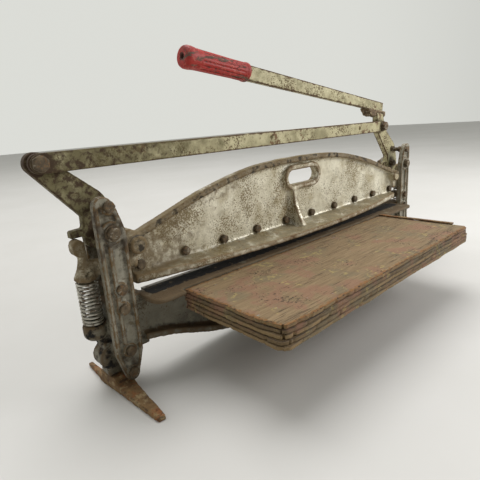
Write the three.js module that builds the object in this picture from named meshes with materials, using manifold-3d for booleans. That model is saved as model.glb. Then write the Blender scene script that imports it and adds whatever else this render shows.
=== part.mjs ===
// Guillotine tile cutter, 24 inch class, in millimetres.
// X runs along the cut with the handle's grip towards -X, +Y points to the back, Z is height above the floor.
// Pieces are drawn about the middle of the row of blade bolts, on the front face of the carrier's web, and
// the whole is then moved so that the origin is the bottom centre of the overall box.
// A crescent-shaped blade carrier slides down between two uprights. Two cranks, joined by a tie bar and
// turned by one handle, press it down against a pair of springs.
import * as THREE from "three";
import { mergeVertices } from "three/addons/utils/BufferGeometryUtils.js";
import Module from "manifold-3d";

const wasm = await Module();
wasm.setup();

// ---------------------------------------------------------------- driving dimensions
const GAP = 0.3; // between pieces that touch
const ORIGIN_SHIFT = [12.3, 59, 0];

const POST_X = 321; // centre line of each upright
const POST_HALF = 16;
const POST_FRONT_Y = -17;
const POST_BACK_Y = -7.5;
const REAR_POST_FRONT_Y = 25.5;
const REAR_POST_BACK_Y = 34;

const CASTING_END_X = 297; // ends of the bed and of the carrier
const BED_Z = 107;
const BED_FRONT_Y = -46;
const BED_LIP = 6;
const BASE_WEB_Y = [-6, 1.5];

const BLADE_BOLT_COUNT = 10;
const BLADE_BOLT_PITCH = 63.5;
const BLADE_BOLT_Z = 138;
const BLADE_HALF = 284;
const LOWER_BLADE_Y = [1.8, 7.7];
const UPPER_BLADE_Y = [8.3, 14.3];
const UPPER_BLADE_Z = [113, 158];

const CARRIER_WEB_Y = [0, 8];
const CARRIER_BOTTOM_Z = 118;
const TONGUE_Y = [-7, 11.5];
const TONGUE_Z = [138.5, 156];
const END_BOSS_X = 291;
const END_BOSS_Z = 164;
const END_BOSS_FACE_Y = -14;

const PIVOT_Z = 185; // the cranks turn here
const CRANK_Y = [13.5, 24.5];
const TIE_BAR_Y = [5.5, 12];
const TIE_PIN = { x: -51, z: 76.5 }; // from the pivot
const STOP_RADIUS = 28; // stop bolt above the pivot
const CRANK_SWING = THREE.MathUtils.degToRad(18);
const LUG_REACH = 28.5; // where a crank's lug presses, from the pivot
const PRESS_PAD_Z = 174.2;
const PRESS_PAD_R = 6.5;

const SPRING_X = 346.5;
const SPRING_Y = 9;
const SPRING_COIL_R = 10.2;
const SPRING_WIRE_R = 1.4;
const SPRING_Z = [84.2, 135.5];
const SPRING_TURNS = 12;

const BOARD = { x: [-255, 190], y: [-190, -34.4], z: [80.5, 105.5] };

const HANDLE_END = { x: 298.2, z: 296.3 };
const HANDLE_ANGLE = THREE.MathUtils.degToRad(8.6);
const HANDLE_Y = [23, 31]; // behind the tie bar, so that the grip swings past it
const HANDLE_BAR_LENGTH = 374;
const GRIP_LENGTH = 108;
const TANG_LENGTH = 94;

const CLAMP_BOLT_Z = { c: 122, d: 99.5, e: 49, f: 22 };
const CLAMP_BOLT_R = 4;
const PIVOT_BOLT_R = 6;
const SIDES = [
  ["left", -1],
  ["right", 1],
];

// ---------------------------------------------------------------- materials
const finish = (color, roughness, metalness) =>
  new THREE.MeshStandardMaterial({ color, roughness, metalness });
const FINISH = {
  casting: () => finish(0xa8a698, 0.6, 0.4),
  upright: () => finish(0x8b8878, 0.6, 0.4),
  lever: () => finish(0xb9b298, 0.6, 0.3),
  blade: () => finish(0x77716a, 0.4, 0.8),
  rusty: () => finish(0x6e4f35, 0.8, 0.4),
  spring: () => finish(0xa9a6a0, 0.35, 0.9),
  plywood: () => finish(0x9a7a5c, 0.85, 0),
  rubber: () => finish(0xa03a34, 0.7, 0),
};

// ---------------------------------------------------------------- solids
// A closed geometry as a manifold-3d solid, with its faces turned outwards.
function solid(geometry) {
  const bare = new THREE.BufferGeometry();
  bare.setAttribute("position", geometry.getAttribute("position"));
  bare.setIndex(geometry.index);
  const merged = mergeVertices(bare, 1e-4);
  const points = merged.getAttribute("position").array;
  const faces = Uint32Array.from(merged.index.array);
  if (signedVolume(points, faces) < 0)
    for (let i = 0; i < faces.length; i += 3)
      [faces[i + 1], faces[i + 2]] = [faces[i + 2], faces[i + 1]];
  return new wasm.Manifold(
    new wasm.Mesh({ numProp: 3, vertProperties: points, triVerts: faces }),
  );
}

function signedVolume(points, faces) {
  const corner = (i) => new THREE.Vector3().fromArray(points, 3 * faces[i]);
  let volume = 0;
  for (let i = 0; i < faces.length; i += 3)
    volume += corner(i).dot(corner(i + 1).cross(corner(i + 2)));
  return volume;
}

const join = (...parts) => parts.reduce((sum, part) => sum.add(part));
const cut = (body, ...tools) => tools.reduce((rest, tool) => rest.subtract(tool), body);

function mesh(name, body, material) {
  const made = body.getMesh();
  const geometry = new THREE.BufferGeometry();
  geometry.setAttribute("position", new THREE.BufferAttribute(made.vertProperties, 3));
  geometry.setIndex(new THREE.BufferAttribute(made.triVerts, 1));
  const flat = geometry.toNonIndexed();
  flat.computeVertexNormals();
  const node = new THREE.Mesh(flat, material);
  node.name = name;
  return node;
}

function extrude(shape, depth, curveSegments) {
  return new THREE.ExtrudeGeometry(shape, { depth, curveSegments, bevelEnabled: false });
}

// An X-Z outline, given depth along Y.
function slabY(shape, [front, back], curveSegments = 8) {
  const geometry = extrude(shape, back - front, curveSegments);
  return solid(geometry.rotateX(Math.PI / 2).translate(0, back, 0));
}

// An X-Y outline, given height.
function slabZ(shape, [low, high], curveSegments = 8) {
  return solid(extrude(shape, high - low, curveSegments).translate(0, 0, low));
}

// A Y-Z outline, given length along X.
function slabX(shape, [left, right], curveSegments = 8) {
  const turn = new THREE.Matrix4().makeBasis(
    new THREE.Vector3(0, 1, 0),
    new THREE.Vector3(0, 0, 1),
    new THREE.Vector3(1, 0, 0),
  );
  const geometry = extrude(shape, right - left, curveSegments).applyMatrix4(turn);
  return solid(geometry.translate(left, 0, 0));
}

function block([x0, x1], [y0, y1], [z0, z1]) {
  const box = new THREE.BoxGeometry(Math.abs(x1 - x0), y1 - y0, z1 - z0);
  return solid(box.translate((x0 + x1) / 2, (y0 + y1) / 2, (z0 + z1) / 2));
}

function rodY(x, z, radius, [front, back], sides = 24) {
  const rod = new THREE.CylinderGeometry(radius, radius, back - front, sides);
  return solid(rod.translate(x, (front + back) / 2, z));
}

const hexY = (x, z, cornerRadius, span) => rodY(x, z, cornerRadius, span, 6);

function rodZ(x, y, radius, [low, high], sides = 24) {
  const rod = new THREE.CylinderGeometry(radius, radius, high - low, sides);
  return solid(rod.rotateX(Math.PI / 2).translate(x, y, (low + high) / 2));
}

// A [radius, height] profile that starts and ends on the axis, turned about a vertical line.
function turned(profile, x, y, sides = 28) {
  const points = profile.map(([radius, height]) => new THREE.Vector2(radius, height));
  return solid(new THREE.LatheGeometry(points, sides).rotateX(Math.PI / 2).translate(x, y, 0));
}

function polygon(points) {
  return new THREE.Shape(points.map(([a, b]) => new THREE.Vector2(a, b)));
}

// A bar outline with round ends between two points.
function stadium([x0, z0], [x1, z1], radius) {
  const along = Math.atan2(z1 - z0, x1 - x0);
  const shape = new THREE.Shape();
  shape.absarc(x1, z1, radius, along - Math.PI / 2, along + Math.PI / 2, false);
  shape.absarc(x0, z0, radius, along + Math.PI / 2, along + 1.5 * Math.PI, false);
  shape.closePath();
  return shape;
}

// A smooth line mirrored about X = 0 through half of its points, from the middle outwards.
function mirroredLine(half, samples) {
  const right = half.map(([x, z]) => new THREE.Vector2(x, z));
  const left = half.slice(1).map(([x, z]) => new THREE.Vector2(-x, z));
  return new THREE.SplineCurve([...left.reverse(), ...right]).getPoints(samples);
}

// The strip between a line and the same line moved up.
function band(line, rise) {
  const upper = line.map((p) => new THREE.Vector2(p.x, p.y + rise)).reverse();
  return new THREE.Shape([...line, ...upper]);
}

// A flange's plan: straight back, front bowed out from the ends to the middle.
function bowedPlan(halfLength, back, endDepth, midDepth) {
  const shape = new THREE.Shape();
  shape.moveTo(-halfLength, back);
  shape.lineTo(-halfLength, -endDepth);
  shape.quadraticCurveTo(0, endDepth - 2 * midDepth, halfLength, -endDepth);
  shape.lineTo(halfLength, back);
  return shape;
}

// ---------------------------------------------------------------- base
const BELLY = [
  [0, 9],
  [110, 12],
  [191, 23],
  [229, 33.5],
  [263, 44],
  [CASTING_END_X, 50],
];
const BELLY_FLANGE = 8.5;
const END_BLOCK = { x: [290, 334], y: [POST_BACK_Y + GAP, REAR_POST_FRONT_Y - GAP], z: [43, BED_Z] };
const LEG_BOSS = { x: 335, z: 41, r: 15 };
const LEG = { x: [313, 343], y: [0, 20], z: [17.3, 60] };
const SPRING_CUP_R = 12.8;
const SPRING_SPIGOT_R = 7.9;
const BOARD_NOTCH = { x: [BOARD.x[0] - 1, BOARD.x[1] + 1.5], y: -34 };
const FOOT_BOLT_R = 3;

function bedPlan() {
  const corner = 14;
  const end = CASTING_END_X;
  const shape = new THREE.Shape();
  shape.moveTo(-end, BASE_WEB_Y[1]);
  shape.lineTo(-end, BED_FRONT_Y + corner);
  shape.absarc(-end + corner, BED_FRONT_Y + corner, corner, Math.PI, 1.5 * Math.PI, false);
  shape.lineTo(BOARD_NOTCH.x[0], BED_FRONT_Y);
  shape.lineTo(BOARD_NOTCH.x[0], BOARD_NOTCH.y);
  shape.lineTo(BOARD_NOTCH.x[1], BOARD_NOTCH.y);
  shape.lineTo(BOARD_NOTCH.x[1], BED_FRONT_Y);
  shape.absarc(end - corner, BED_FRONT_Y + corner, corner, 1.5 * Math.PI, 2 * Math.PI, false);
  shape.lineTo(end, BASE_WEB_Y[1]);
  return shape;
}

// The end that sits between the uprights, with its leg and the spring's lower cup.
function baseEnd(side) {
  const at = (span) => span.map((x) => side * x);
  const cup = turned(
    [
      [0, 66],
      [SPRING_CUP_R - 4, 66],
      [SPRING_CUP_R, 71],
      [SPRING_CUP_R, SPRING_Z[0] - GAP],
      [SPRING_SPIGOT_R, SPRING_Z[0] - GAP],
      [SPRING_SPIGOT_R - 0.4, 91],
      [0, 91],
    ],
    side * SPRING_X,
    SPRING_Y,
  );
  const leg = block(at(LEG.x), LEG.y, LEG.z);
  const boss = rodY(side * LEG_BOSS.x, LEG_BOSS.z, LEG_BOSS.r, [-3, 21]);
  const body = join(
    block(at(END_BLOCK.x), END_BLOCK.y, END_BLOCK.z),
    block(at([330, SPRING_X]), [4, 14], [58, 72]),
    cup,
    leg,
    boss,
    cutRing(side * LEG_BOSS.x, LEG_BOSS.z, [8, 11], [-4.5, -3]),
  );
  const bores = ["d", "e", "f"].map((key) =>
    rodY(side * POST_X, CLAMP_BOLT_Z[key], CLAMP_BOLT_R + GAP, [-10, 30], 16),
  );
  const footBore = rodZ(side * FOOT_BOLT_X, FOOT_BOLT_Y, FOOT_BOLT_R + GAP, [0, 31], 16);
  return cut(body, ...bores, footBore);
}

// A raised ring on the front of a boss.
function cutRing(x, z, [inner, outer], span) {
  return cut(rodY(x, z, outer, span), rodY(x, z, inner, [span[0] - 1, span[1] + 1]));
}

function baseCasting() {
  const belly = mirroredLine(BELLY, 48);
  const webTop = [new THREE.Vector2(CASTING_END_X, BED_Z - 1), new THREE.Vector2(-CASTING_END_X, BED_Z - 1)];
  const web = slabY(new THREE.Shape([...belly, ...webTop]), BASE_WEB_Y);
  const flangeRun = slabY(band(belly, BELLY_FLANGE), [-40, 9]);
  const flange = flangeRun.intersect(slabZ(bowedPlan(CASTING_END_X, 9, 14, 30), [0, 70], 16));
  const bed = slabZ(bedPlan(), [BED_Z - BED_LIP, BED_Z]);
  return join(web, flange, bed, baseEnd(-1), baseEnd(1));
}

function lowerBlade() {
  return block([-BLADE_HALF - 1, BLADE_HALF + 1], LOWER_BLADE_Y, [84, BED_Z]);
}

// ---------------------------------------------------------------- board
function boardPlan() {
  const [left, right] = BOARD.x;
  const [front, back] = BOARD.y;
  const corners = [12, 11];
  const shape = new THREE.Shape();
  shape.moveTo(left, back);
  shape.lineTo(left, front + corners[0]);
  shape.absarc(left + corners[0], front + corners[0], corners[0], Math.PI, 1.5 * Math.PI, false);
  shape.absarc(right - corners[1], front + corners[1], corners[1], 1.5 * Math.PI, 2 * Math.PI, false);
  shape.lineTo(right, back);
  return shape;
}

function edgeStrip() {
  const lift = BOARD.z[1] + GAP;
  return block([BOARD.x[1] - 8, BOARD.x[1] - 1], [BOARD.y[0] + 24, BOARD.y[1] - 2], [lift, lift + 2.4]);
}

const BRACKET_X = [-170, 110];
const BRACKET_HALF = 16;

function boardBracket(x) {
  const top = BOARD.z[0] - GAP;
  const face = BASE_WEB_Y[0] - GAP;
  const sheet = 3.3;
  const foot = 50;
  const reach = -160;
  const outline = polygon([
    [face, top],
    [reach, top],
    [reach, top - sheet],
    [face - sheet, top - sheet],
    [face - sheet, foot],
    [face, foot],
  ]);
  return slabX(outline, [x - BRACKET_HALF, x + BRACKET_HALF]);
}

// ---------------------------------------------------------------- uprights
const POST_TOP_Z = 224;
const POST_TIP_Z = 11;
const POST_RIM = 4.8;
const POST_FLOOR_Y = -14; // face of the channels between the ribs

// Outline with a straight outboard edge, a sloping inboard shoulder and a rounded tip.
function postOutline(side, inset) {
  const half = POST_HALF - inset;
  const low = POST_TIP_Z + inset;
  const top = POST_TOP_Z - inset;
  const x = (away) => side * (POST_X + away);
  const shape = new THREE.Shape();
  shape.moveTo(x(-half), 46);
  shape.lineTo(x(-7 + inset * 0.4), low + 4);
  shape.quadraticCurveTo(x(-4), low, x(0), low);
  shape.quadraticCurveTo(x(4), low, x(7 - inset * 0.4), low + 4);
  shape.lineTo(x(half), 46);
  shape.lineTo(x(half), top - 14);
  shape.quadraticCurveTo(x(half), top, x(6), top);
  shape.quadraticCurveTo(x(-4), top, x(-9 + inset), top - 16);
  shape.lineTo(x(-half), PIVOT_Z - 2);
  return shape;
}

function frontUpright(side) {
  const x = side * POST_X;
  const plate = slabY(postOutline(side, 0), [POST_FLOOR_Y, POST_BACK_Y]);
  const rimSpan = [POST_FRONT_Y, POST_FLOOR_Y + 0.5];
  const rim = cut(slabY(postOutline(side, 0), rimSpan), slabY(postOutline(side, POST_RIM), [-20, 0]));
  const rib = slabY(stadium([x + side * 4.5, 60], [x + side * 4.5, 170], 2.6), rimSpan);
  const holeSpan = [-20, 0];
  const bolts = Object.values(CLAMP_BOLT_Z);
  const pads = bolts.map((z) => rodY(x, z, 8.5, rimSpan));
  const pivotPad = rodY(x, PIVOT_Z, 13, [POST_FRONT_Y, POST_FLOOR_Y + 0.5]);
  const stopPad = rodY(x, PIVOT_Z + STOP_RADIUS, 9, rimSpan);
  const face = slabY(postOutline(side, 0), [-30, 0]);
  const body = join(plate, rim, rib, ...pads, pivotPad, stopPad).intersect(face);
  const holes = bolts.map((z) => rodY(x, z, CLAMP_BOLT_R + GAP, holeSpan, 16));
  return cut(
    body,
    ...holes,
    rodY(x, PIVOT_Z, PIVOT_BOLT_R + GAP, holeSpan),
    rodY(x, PIVOT_Z + STOP_RADIUS, CLAMP_BOLT_R + GAP, holeSpan, 16),
  );
}

function rearUpright(side) {
  const x = side * POST_X;
  const shape = new THREE.Shape();
  shape.moveTo(x - 7, 14);
  shape.lineTo(x + 7, 14);
  shape.lineTo(x + 15, 48);
  shape.lineTo(x + 15, 120);
  shape.lineTo(x + 12, PIVOT_Z);
  shape.absarc(x, PIVOT_Z, 12, 0, Math.PI, false);
  shape.lineTo(x - 15, 120);
  shape.lineTo(x - 15, 48);
  const span = [REAR_POST_FRONT_Y, REAR_POST_BACK_Y];
  const through = [span[0] - 5, span[1] + 5];
  const holes = Object.values(CLAMP_BOLT_Z).map((z) => rodY(x, z, CLAMP_BOLT_R + GAP, through, 16));
  return cut(slabY(shape, span), ...holes, rodY(x, PIVOT_Z, PIVOT_BOLT_R + GAP, through));
}

// ---------------------------------------------------------------- feet
const FOOT_HEIGHT = 8;
const FOOT_HUB = { y: [POST_BACK_Y + GAP, REAR_POST_FRONT_Y - GAP], z: LEG.z[0] - GAP };
const FOOT_BOLT_X = 331;
const FOOT_BOLT_Y = 8;

function foot(side) {
  const plan = polygon(
    [
      [336, -88],
      [327, -89],
      [320, -17],
      [316, 22],
      [322, 36],
      [334, 40],
      [333.5, 72],
      [339, 72],
      [341, 38],
      [343, 30],
    ].map(([x, y]) => [side * x, y]),
  );
  const counterbore = rodZ(side * FOOT_BOLT_X, FOOT_BOLT_Y, 6, [-1, 4.4]);
  const bore = rodZ(side * FOOT_BOLT_X, FOOT_BOLT_Y, FOOT_BOLT_R + GAP, [0, 20], 16);
  const slope = slabX(
    polygon([
      [-100, 5],
      [-20, FOOT_HEIGHT],
      [FOOT_HUB.y[0], FOOT_HEIGHT + 2],
      [FOOT_HUB.y[0], FOOT_HUB.z],
      [FOOT_HUB.y[1], FOOT_HUB.z],
      [FOOT_HUB.y[1], FOOT_HEIGHT + 2],
      [34, FOOT_HEIGHT],
      [80, 4],
      [80, 30],
      [-100, 30],
    ]),
    [-400, 400],
  );
  return cut(slabZ(plan, [0, FOOT_HUB.z]), slope, counterbore, bore);
}

function footBolt(side) {
  const head = rodZ(side * FOOT_BOLT_X, FOOT_BOLT_Y, 5.4, [0.4, 4], 6);
  return join(head, rodZ(side * FOOT_BOLT_X, FOOT_BOLT_Y, FOOT_BOLT_R, [3.5, 29.5], 16));
}

// ---------------------------------------------------------------- blade carrier
const CREST = [
  [0, 232],
  [100, 227.5],
  [190, 209],
  [250, 189.5],
  [CASTING_END_X, 174],
];
const CREST_FLANGE = 8.5;
const CREST_FLANGE_Y = [-8, 5];
const SLOT = { left: [-17, 201], right: [33, 201], radius: 11, rim: 7.5 };
const CENTRE_RIB_X = [-20, -9];

function carrierEnd(side) {
  const at = (span) => span.map((x) => side * x);
  const padX = side * END_BOSS_X;
  const headX = side * (POST_X + LUG_REACH);
  const padSpan = [CARRIER_WEB_Y[0] + 1, CRANK_Y[1] - 0.5];
  const headSpan = [3.5, CRANK_Y[1] - 5.5];
  const innerPadX = side * (POST_X - LUG_REACH);
  const bell = turned(
    [
      [0, 129],
      [7.4, 129],
      [7.8, SPRING_Z[1] + GAP],
      [12.4, SPRING_Z[1] + GAP],
      [12.4, 138.5],
      [11.2, 141],
      [8.4, 146.5],
      [6.2, 153],
      [5, 160],
      [5, 168],
      [0, 169],
    ],
    side * SPRING_X,
    SPRING_Y,
  );
  return join(
    block(at([CASTING_END_X - 6, 334]), TONGUE_Y, TONGUE_Z),
    rodY(padX, END_BOSS_Z, 10.5, [END_BOSS_FACE_Y, CARRIER_WEB_Y[1]]),
    cutRing(padX, END_BOSS_Z, [6.5, 9.2], [END_BOSS_FACE_Y - 1.5, END_BOSS_FACE_Y + 0.5]),
    rodY(padX, END_BOSS_Z, 3.5, [END_BOSS_FACE_Y - 1.5, END_BOSS_FACE_Y + 0.5], 16),
    slabY(stadium([innerPadX, 158], [innerPadX, PRESS_PAD_Z], PRESS_PAD_R), padSpan),
    block(at([330, SPRING_X]), [4, 11.5], [148, TONGUE_Z[1]]),
    slabY(stadium([headX, 169], [headX, PRESS_PAD_Z], PRESS_PAD_R), headSpan),
    bell,
  );
}

function bladeCarrier() {
  const crest = mirroredLine(CREST, 56);
  const lowered = crest.map((p) => new THREE.Vector2(p.x, p.y - CREST_FLANGE));
  const foot = [
    new THREE.Vector2(CASTING_END_X, CARRIER_BOTTOM_Z),
    new THREE.Vector2(-CASTING_END_X, CARRIER_BOTTOM_Z),
  ];
  const web = slabY(new THREE.Shape([...lowered, ...foot]), CARRIER_WEB_Y);
  const topFlange = slabY(band(lowered, CREST_FLANGE), CREST_FLANGE_Y);
  const ledgeSection = polygon([
    [CARRIER_WEB_Y[1], CARRIER_BOTTOM_Z],
    [-60, CARRIER_BOTTOM_Z],
    [-60, 121.5],
    [-3, 129.5],
    [1, 133],
  ]);
  const plan = slabZ(bowedPlan(CASTING_END_X, CARRIER_WEB_Y[1], 8, 38), [110, 140], 16);
  const ledge = slabX(ledgeSection, [-CASTING_END_X, CASTING_END_X]).intersect(plan);
  const rim = slabY(stadium(SLOT.left, SLOT.right, SLOT.radius + SLOT.rim), [CREST_FLANGE_Y[0] + 1, 1]);
  const ribSection = polygon([
    [1, 190],
    [CREST_FLANGE_Y[0] + 1, 190],
    [-10, 160],
    [-27, 121],
    [1, 121],
  ]);
  const rib = slabX(ribSection, CENTRE_RIB_X);
  const body = join(web, topFlange, ledge, rim, rib, carrierEnd(-1), carrierEnd(1));
  const slot = slabY(stadium(SLOT.left, SLOT.right, SLOT.radius), [-20, 20]);
  const bores = bladeBoltX().map((x) => rodY(x, BLADE_BOLT_Z, BLADE_BOLT_R + GAP, [-2, 12], 16));
  return cut(body, slot, ...bores);
}

// ---------------------------------------------------------------- blades and their bolts
const BLADE_BOLT_R = 3.2;

function bladeBoltX() {
  const first = (-(BLADE_BOLT_COUNT - 1) / 2) * BLADE_BOLT_PITCH;
  return Array.from({ length: BLADE_BOLT_COUNT }, (_, i) => first + i * BLADE_BOLT_PITCH);
}

function upperBlade() {
  const [front, back] = UPPER_BLADE_Y;
  const [edge, top] = UPPER_BLADE_Z;
  const section = polygon([
    [front, edge],
    [back, edge + 5],
    [back, top],
    [front, top],
  ]);
  const bores = bladeBoltX().map((x) => rodY(x, BLADE_BOLT_Z, BLADE_BOLT_R + GAP, [0, 20], 16));
  return cut(slabX(section, [-BLADE_HALF, BLADE_HALF]), ...bores);
}

function bladeBolt(x) {
  return join(
    hexY(x, BLADE_BOLT_Z, 5.6, [-5, CARRIER_WEB_Y[0] - GAP]),
    rodY(x, BLADE_BOLT_Z, BLADE_BOLT_R, [-1, 22], 12),
    hexY(x, BLADE_BOLT_Z, 5.6, [UPPER_BLADE_Y[1] + GAP, UPPER_BLADE_Y[1] + 5]),
  );
}

// ---------------------------------------------------------------- cranks, tie bar and handle
const CRANK_HUB_R = 21;

// Outline about the pivot: an arm to the tie pin, a round hub and a short lug that presses the carrier.
function crankOutline(withHead) {
  const pin = TIE_PIN;
  const shape = new THREE.Shape();
  shape.moveTo(-16, 17);
  shape.lineTo(pin.x - 8.5, pin.z - 8);
  shape.quadraticCurveTo(pin.x - 15, pin.z - 1, pin.x - 9, pin.z + 7.5);
  if (withHead) {
    shape.lineTo(-60, 92);
    shape.lineTo(-63, 103.4);
    shape.lineTo(-37, 100);
    shape.lineTo(-35, 88);
  } else {
    shape.quadraticCurveTo(pin.x - 3, pin.z + 13.5, pin.x + 6, pin.z + 9.5);
  }
  shape.lineTo(-24, 67);
  shape.lineTo(6, 42);
  shape.quadraticCurveTo(17.5, 31, CRANK_HUB_R, 0);
  shape.absarc(0, 0, CRANK_HUB_R, 2 * Math.PI, 1.22 * Math.PI, true);
  shape.lineTo(-17, -4);
  shape.lineTo(-31.5, -4);
  shape.lineTo(-31.5, 2.5);
  shape.lineTo(-30, 4);
  shape.lineTo(-17, 4.5);
  return shape;
}

// The stop bolt's slot: a short arc about the pivot, as long as the crank's swing.
function stopSlot() {
  const half = CLAMP_BOLT_R + 1;
  const start = Math.PI / 2 - CRANK_SWING - 0.03;
  const end = Math.PI / 2 + 0.03;
  const shape = new THREE.Shape();
  shape.absarc(0, 0, STOP_RADIUS + half, start, end, false);
  shape.absarc(0, 0, STOP_RADIUS - half, end, start, true);
  shape.closePath();
  const rounds = [start, end].map((angle) =>
    rodY(STOP_RADIUS * Math.cos(angle), STOP_RADIUS * Math.sin(angle), half, [-30, 30], 16),
  );
  return join(slabY(shape, [-30, 30]), ...rounds);
}

function crank(x, withHead) {
  const body = cut(
    slabY(crankOutline(withHead), CRANK_Y),
    rodY(0, 0, PIVOT_BOLT_R + GAP, [0, 40]),
    rodY(TIE_PIN.x, TIE_PIN.z, CLAMP_BOLT_R + GAP, [0, 40], 16),
    stopSlot(),
  );
  return body.translate([x, 0, PIVOT_Z]);
}

function tieBar() {
  const [x0, x1] = SIDES.map(([, side]) => side * POST_X + TIE_PIN.x);
  const z = PIVOT_Z + TIE_PIN.z;
  const bar = slabY(stadium([x0, z], [x1, z], 10), TIE_BAR_Y);
  const through = [0, 20];
  return cut(
    bar,
    rodY(x0, z, CLAMP_BOLT_R + GAP, through, 16),
    rodY(x1, z, CLAMP_BOLT_R + GAP, through, 16),
    rodY(-48, z + 2, 2.5, through, 12),
    rodY(186, z, 2.5, through, 12),
  );
}

function tieBolt(side) {
  const x = side * POST_X + TIE_PIN.x;
  const z = PIVOT_Z + TIE_PIN.z;
  return join(
    hexY(x, z, 8, [-1.5, 3.8]),
    rodY(x, z, 9, [3.5, TIE_BAR_Y[0] - GAP]),
    rodY(x, z, CLAMP_BOLT_R, [3.5, 34], 16),
  );
}

function ringNut(x, z, cornerRadius, boltRadius, span) {
  const bore = rodY(x, z, boltRadius + GAP, [span[0] - 1, span[1] + 1], 16);
  return cut(hexY(x, z, cornerRadius, span), bore);
}

function tieNut(side) {
  const z = PIVOT_Z + TIE_PIN.z;
  return ringNut(side * POST_X + TIE_PIN.x, z, 8, CLAMP_BOLT_R, [CRANK_Y[1] + GAP, 31]);
}

// A point along the handle from its crank end, and off its centre line.
function onHandle(along, off) {
  const cos = Math.cos(HANDLE_ANGLE);
  const sin = Math.sin(HANDLE_ANGLE);
  return [HANDLE_END.x - along * cos + off * sin, HANDLE_END.z + along * sin + off * cos];
}

function handleBar() {
  const tangStart = HANDLE_BAR_LENGTH + 4;
  const tangEnd = HANDLE_BAR_LENGTH + TANG_LENGTH;
  const outline = polygon([
    onHandle(0, -9),
    onHandle(0, 9),
    onHandle(HANDLE_BAR_LENGTH - GAP, 10.5),
    onHandle(HANDLE_BAR_LENGTH - GAP, 7.5),
    onHandle(tangStart, 7),
    onHandle(tangEnd, 7),
    onHandle(tangEnd, -7),
    onHandle(tangStart, -7),
    onHandle(HANDLE_BAR_LENGTH - GAP, -7.5),
    onHandle(HANDLE_BAR_LENGTH - GAP, -10.5),
  ]);
  return slabY(outline, HANDLE_Y);
}

function handleGrip() {
  const profile = [
    [0, 0],
    [12.6, 0],
    [13.2, 2],
    [13.2, 5],
    [12.4, 8],
    [12.2, 30],
    [12.6, 54],
    [12.9, 80],
    [13.2, 92],
    [14.4, 98],
    [14.4, 104],
    [12.5, GRIP_LENGTH],
    [0, GRIP_LENGTH],
  ].map(([radius, along]) => new THREE.Vector2(radius, along));
  const [x, z] = onHandle(HANDLE_BAR_LENGTH, 0);
  const body = new THREE.LatheGeometry(profile, 28)
    .rotateX(Math.PI / 2)
    .rotateY(-Math.PI / 2 + HANDLE_ANGLE)
    .translate(x, (HANDLE_Y[0] + HANDLE_Y[1]) / 2, z);
  const socketEnd = HANDLE_BAR_LENGTH + TANG_LENGTH + 1;
  const socket = polygon([
    onHandle(HANDLE_BAR_LENGTH - 5, 8),
    onHandle(socketEnd, 7.5),
    onHandle(socketEnd, -7.5),
    onHandle(HANDLE_BAR_LENGTH - 5, -8),
  ]);
  return cut(solid(body), slabY(socket, [HANDLE_Y[0] - GAP, HANDLE_Y[1] + GAP]));
}

// The lump of weld that fixes the handle behind and on top of the right crank's head.
function handleSaddle() {
  const under = (along) => onHandle(along, -9.3 - (along / HANDLE_BAR_LENGTH) * 1.5);
  const outline = polygon([under(4), under(70), [240, 283], [290, 278]]);
  const lump = slabY(outline, [CRANK_Y[0], HANDLE_Y[1] + 0.5]);
  const head = polygon([
    [POST_X - 63.6, 270],
    [POST_X - 63.6, PIVOT_Z + 104],
    [POST_X - 36.4, PIVOT_Z + 100.5],
    [POST_X - 34, 270],
  ]);
  return cut(lump, slabY(head, [CRANK_Y[0] - 1, CRANK_Y[1] + GAP]));
}

// ---------------------------------------------------------------- bolts through the uprights
function clampBolt(side, z) {
  const x = side * POST_X;
  return join(
    hexY(x, z, 6.4, [POST_FRONT_Y - 4.5, POST_FRONT_Y - GAP]),
    rodY(x, z, CLAMP_BOLT_R, [POST_FRONT_Y - 1, 43], 16),
    hexY(x, z, 7, [REAR_POST_BACK_Y + GAP, 40]),
  );
}

function spacer(side) {
  const x = side * POST_X;
  const span = [POST_BACK_Y + GAP, REAR_POST_FRONT_Y - GAP];
  return cut(rodY(x, CLAMP_BOLT_Z.c, 6, span), rodY(x, CLAMP_BOLT_Z.c, CLAMP_BOLT_R + GAP, [-20, 40], 16));
}

function pivotBolt(side) {
  const x = side * POST_X;
  return join(
    hexY(x, PIVOT_Z, 7.4, [POST_FRONT_Y - 6.5, POST_FRONT_Y - 1.5]),
    rodY(x, PIVOT_Z, 9, [POST_FRONT_Y - 2, POST_FRONT_Y - GAP]),
    rodY(x, PIVOT_Z, PIVOT_BOLT_R, [POST_FRONT_Y - 2, 44]),
  );
}

function pivotNut(side) {
  return ringNut(side * POST_X, PIVOT_Z, 10, PIVOT_BOLT_R, [REAR_POST_BACK_Y + GAP, 41]);
}

function stopBolt(side) {
  const x = side * POST_X;
  const z = PIVOT_Z + STOP_RADIUS;
  return join(
    hexY(x, z, 6.4, [POST_FRONT_Y - 4.5, POST_FRONT_Y - GAP]),
    rodY(x, z, CLAMP_BOLT_R, [POST_FRONT_Y - 1, CRANK_Y[1]], 16),
  );
}

function stopNut(side) {
  const z = PIVOT_Z + STOP_RADIUS;
  return ringNut(side * POST_X, z, 7.5, CLAMP_BOLT_R, [POST_BACK_Y + GAP, -1.5]);
}

// ---------------------------------------------------------------- springs
class Helix extends THREE.Curve {
  constructor(x, y, [low, high], turns, radius) {
    super();
    Object.assign(this, { x, y, low, high, turns, radius });
  }

  getPoint(t, target = new THREE.Vector3()) {
    const angle = 2 * Math.PI * this.turns * t;
    const height = this.low + (this.high - this.low) * t;
    return target.set(
      this.x + this.radius * Math.cos(angle),
      this.y + this.radius * Math.sin(angle),
      height,
    );
  }
}

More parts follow.
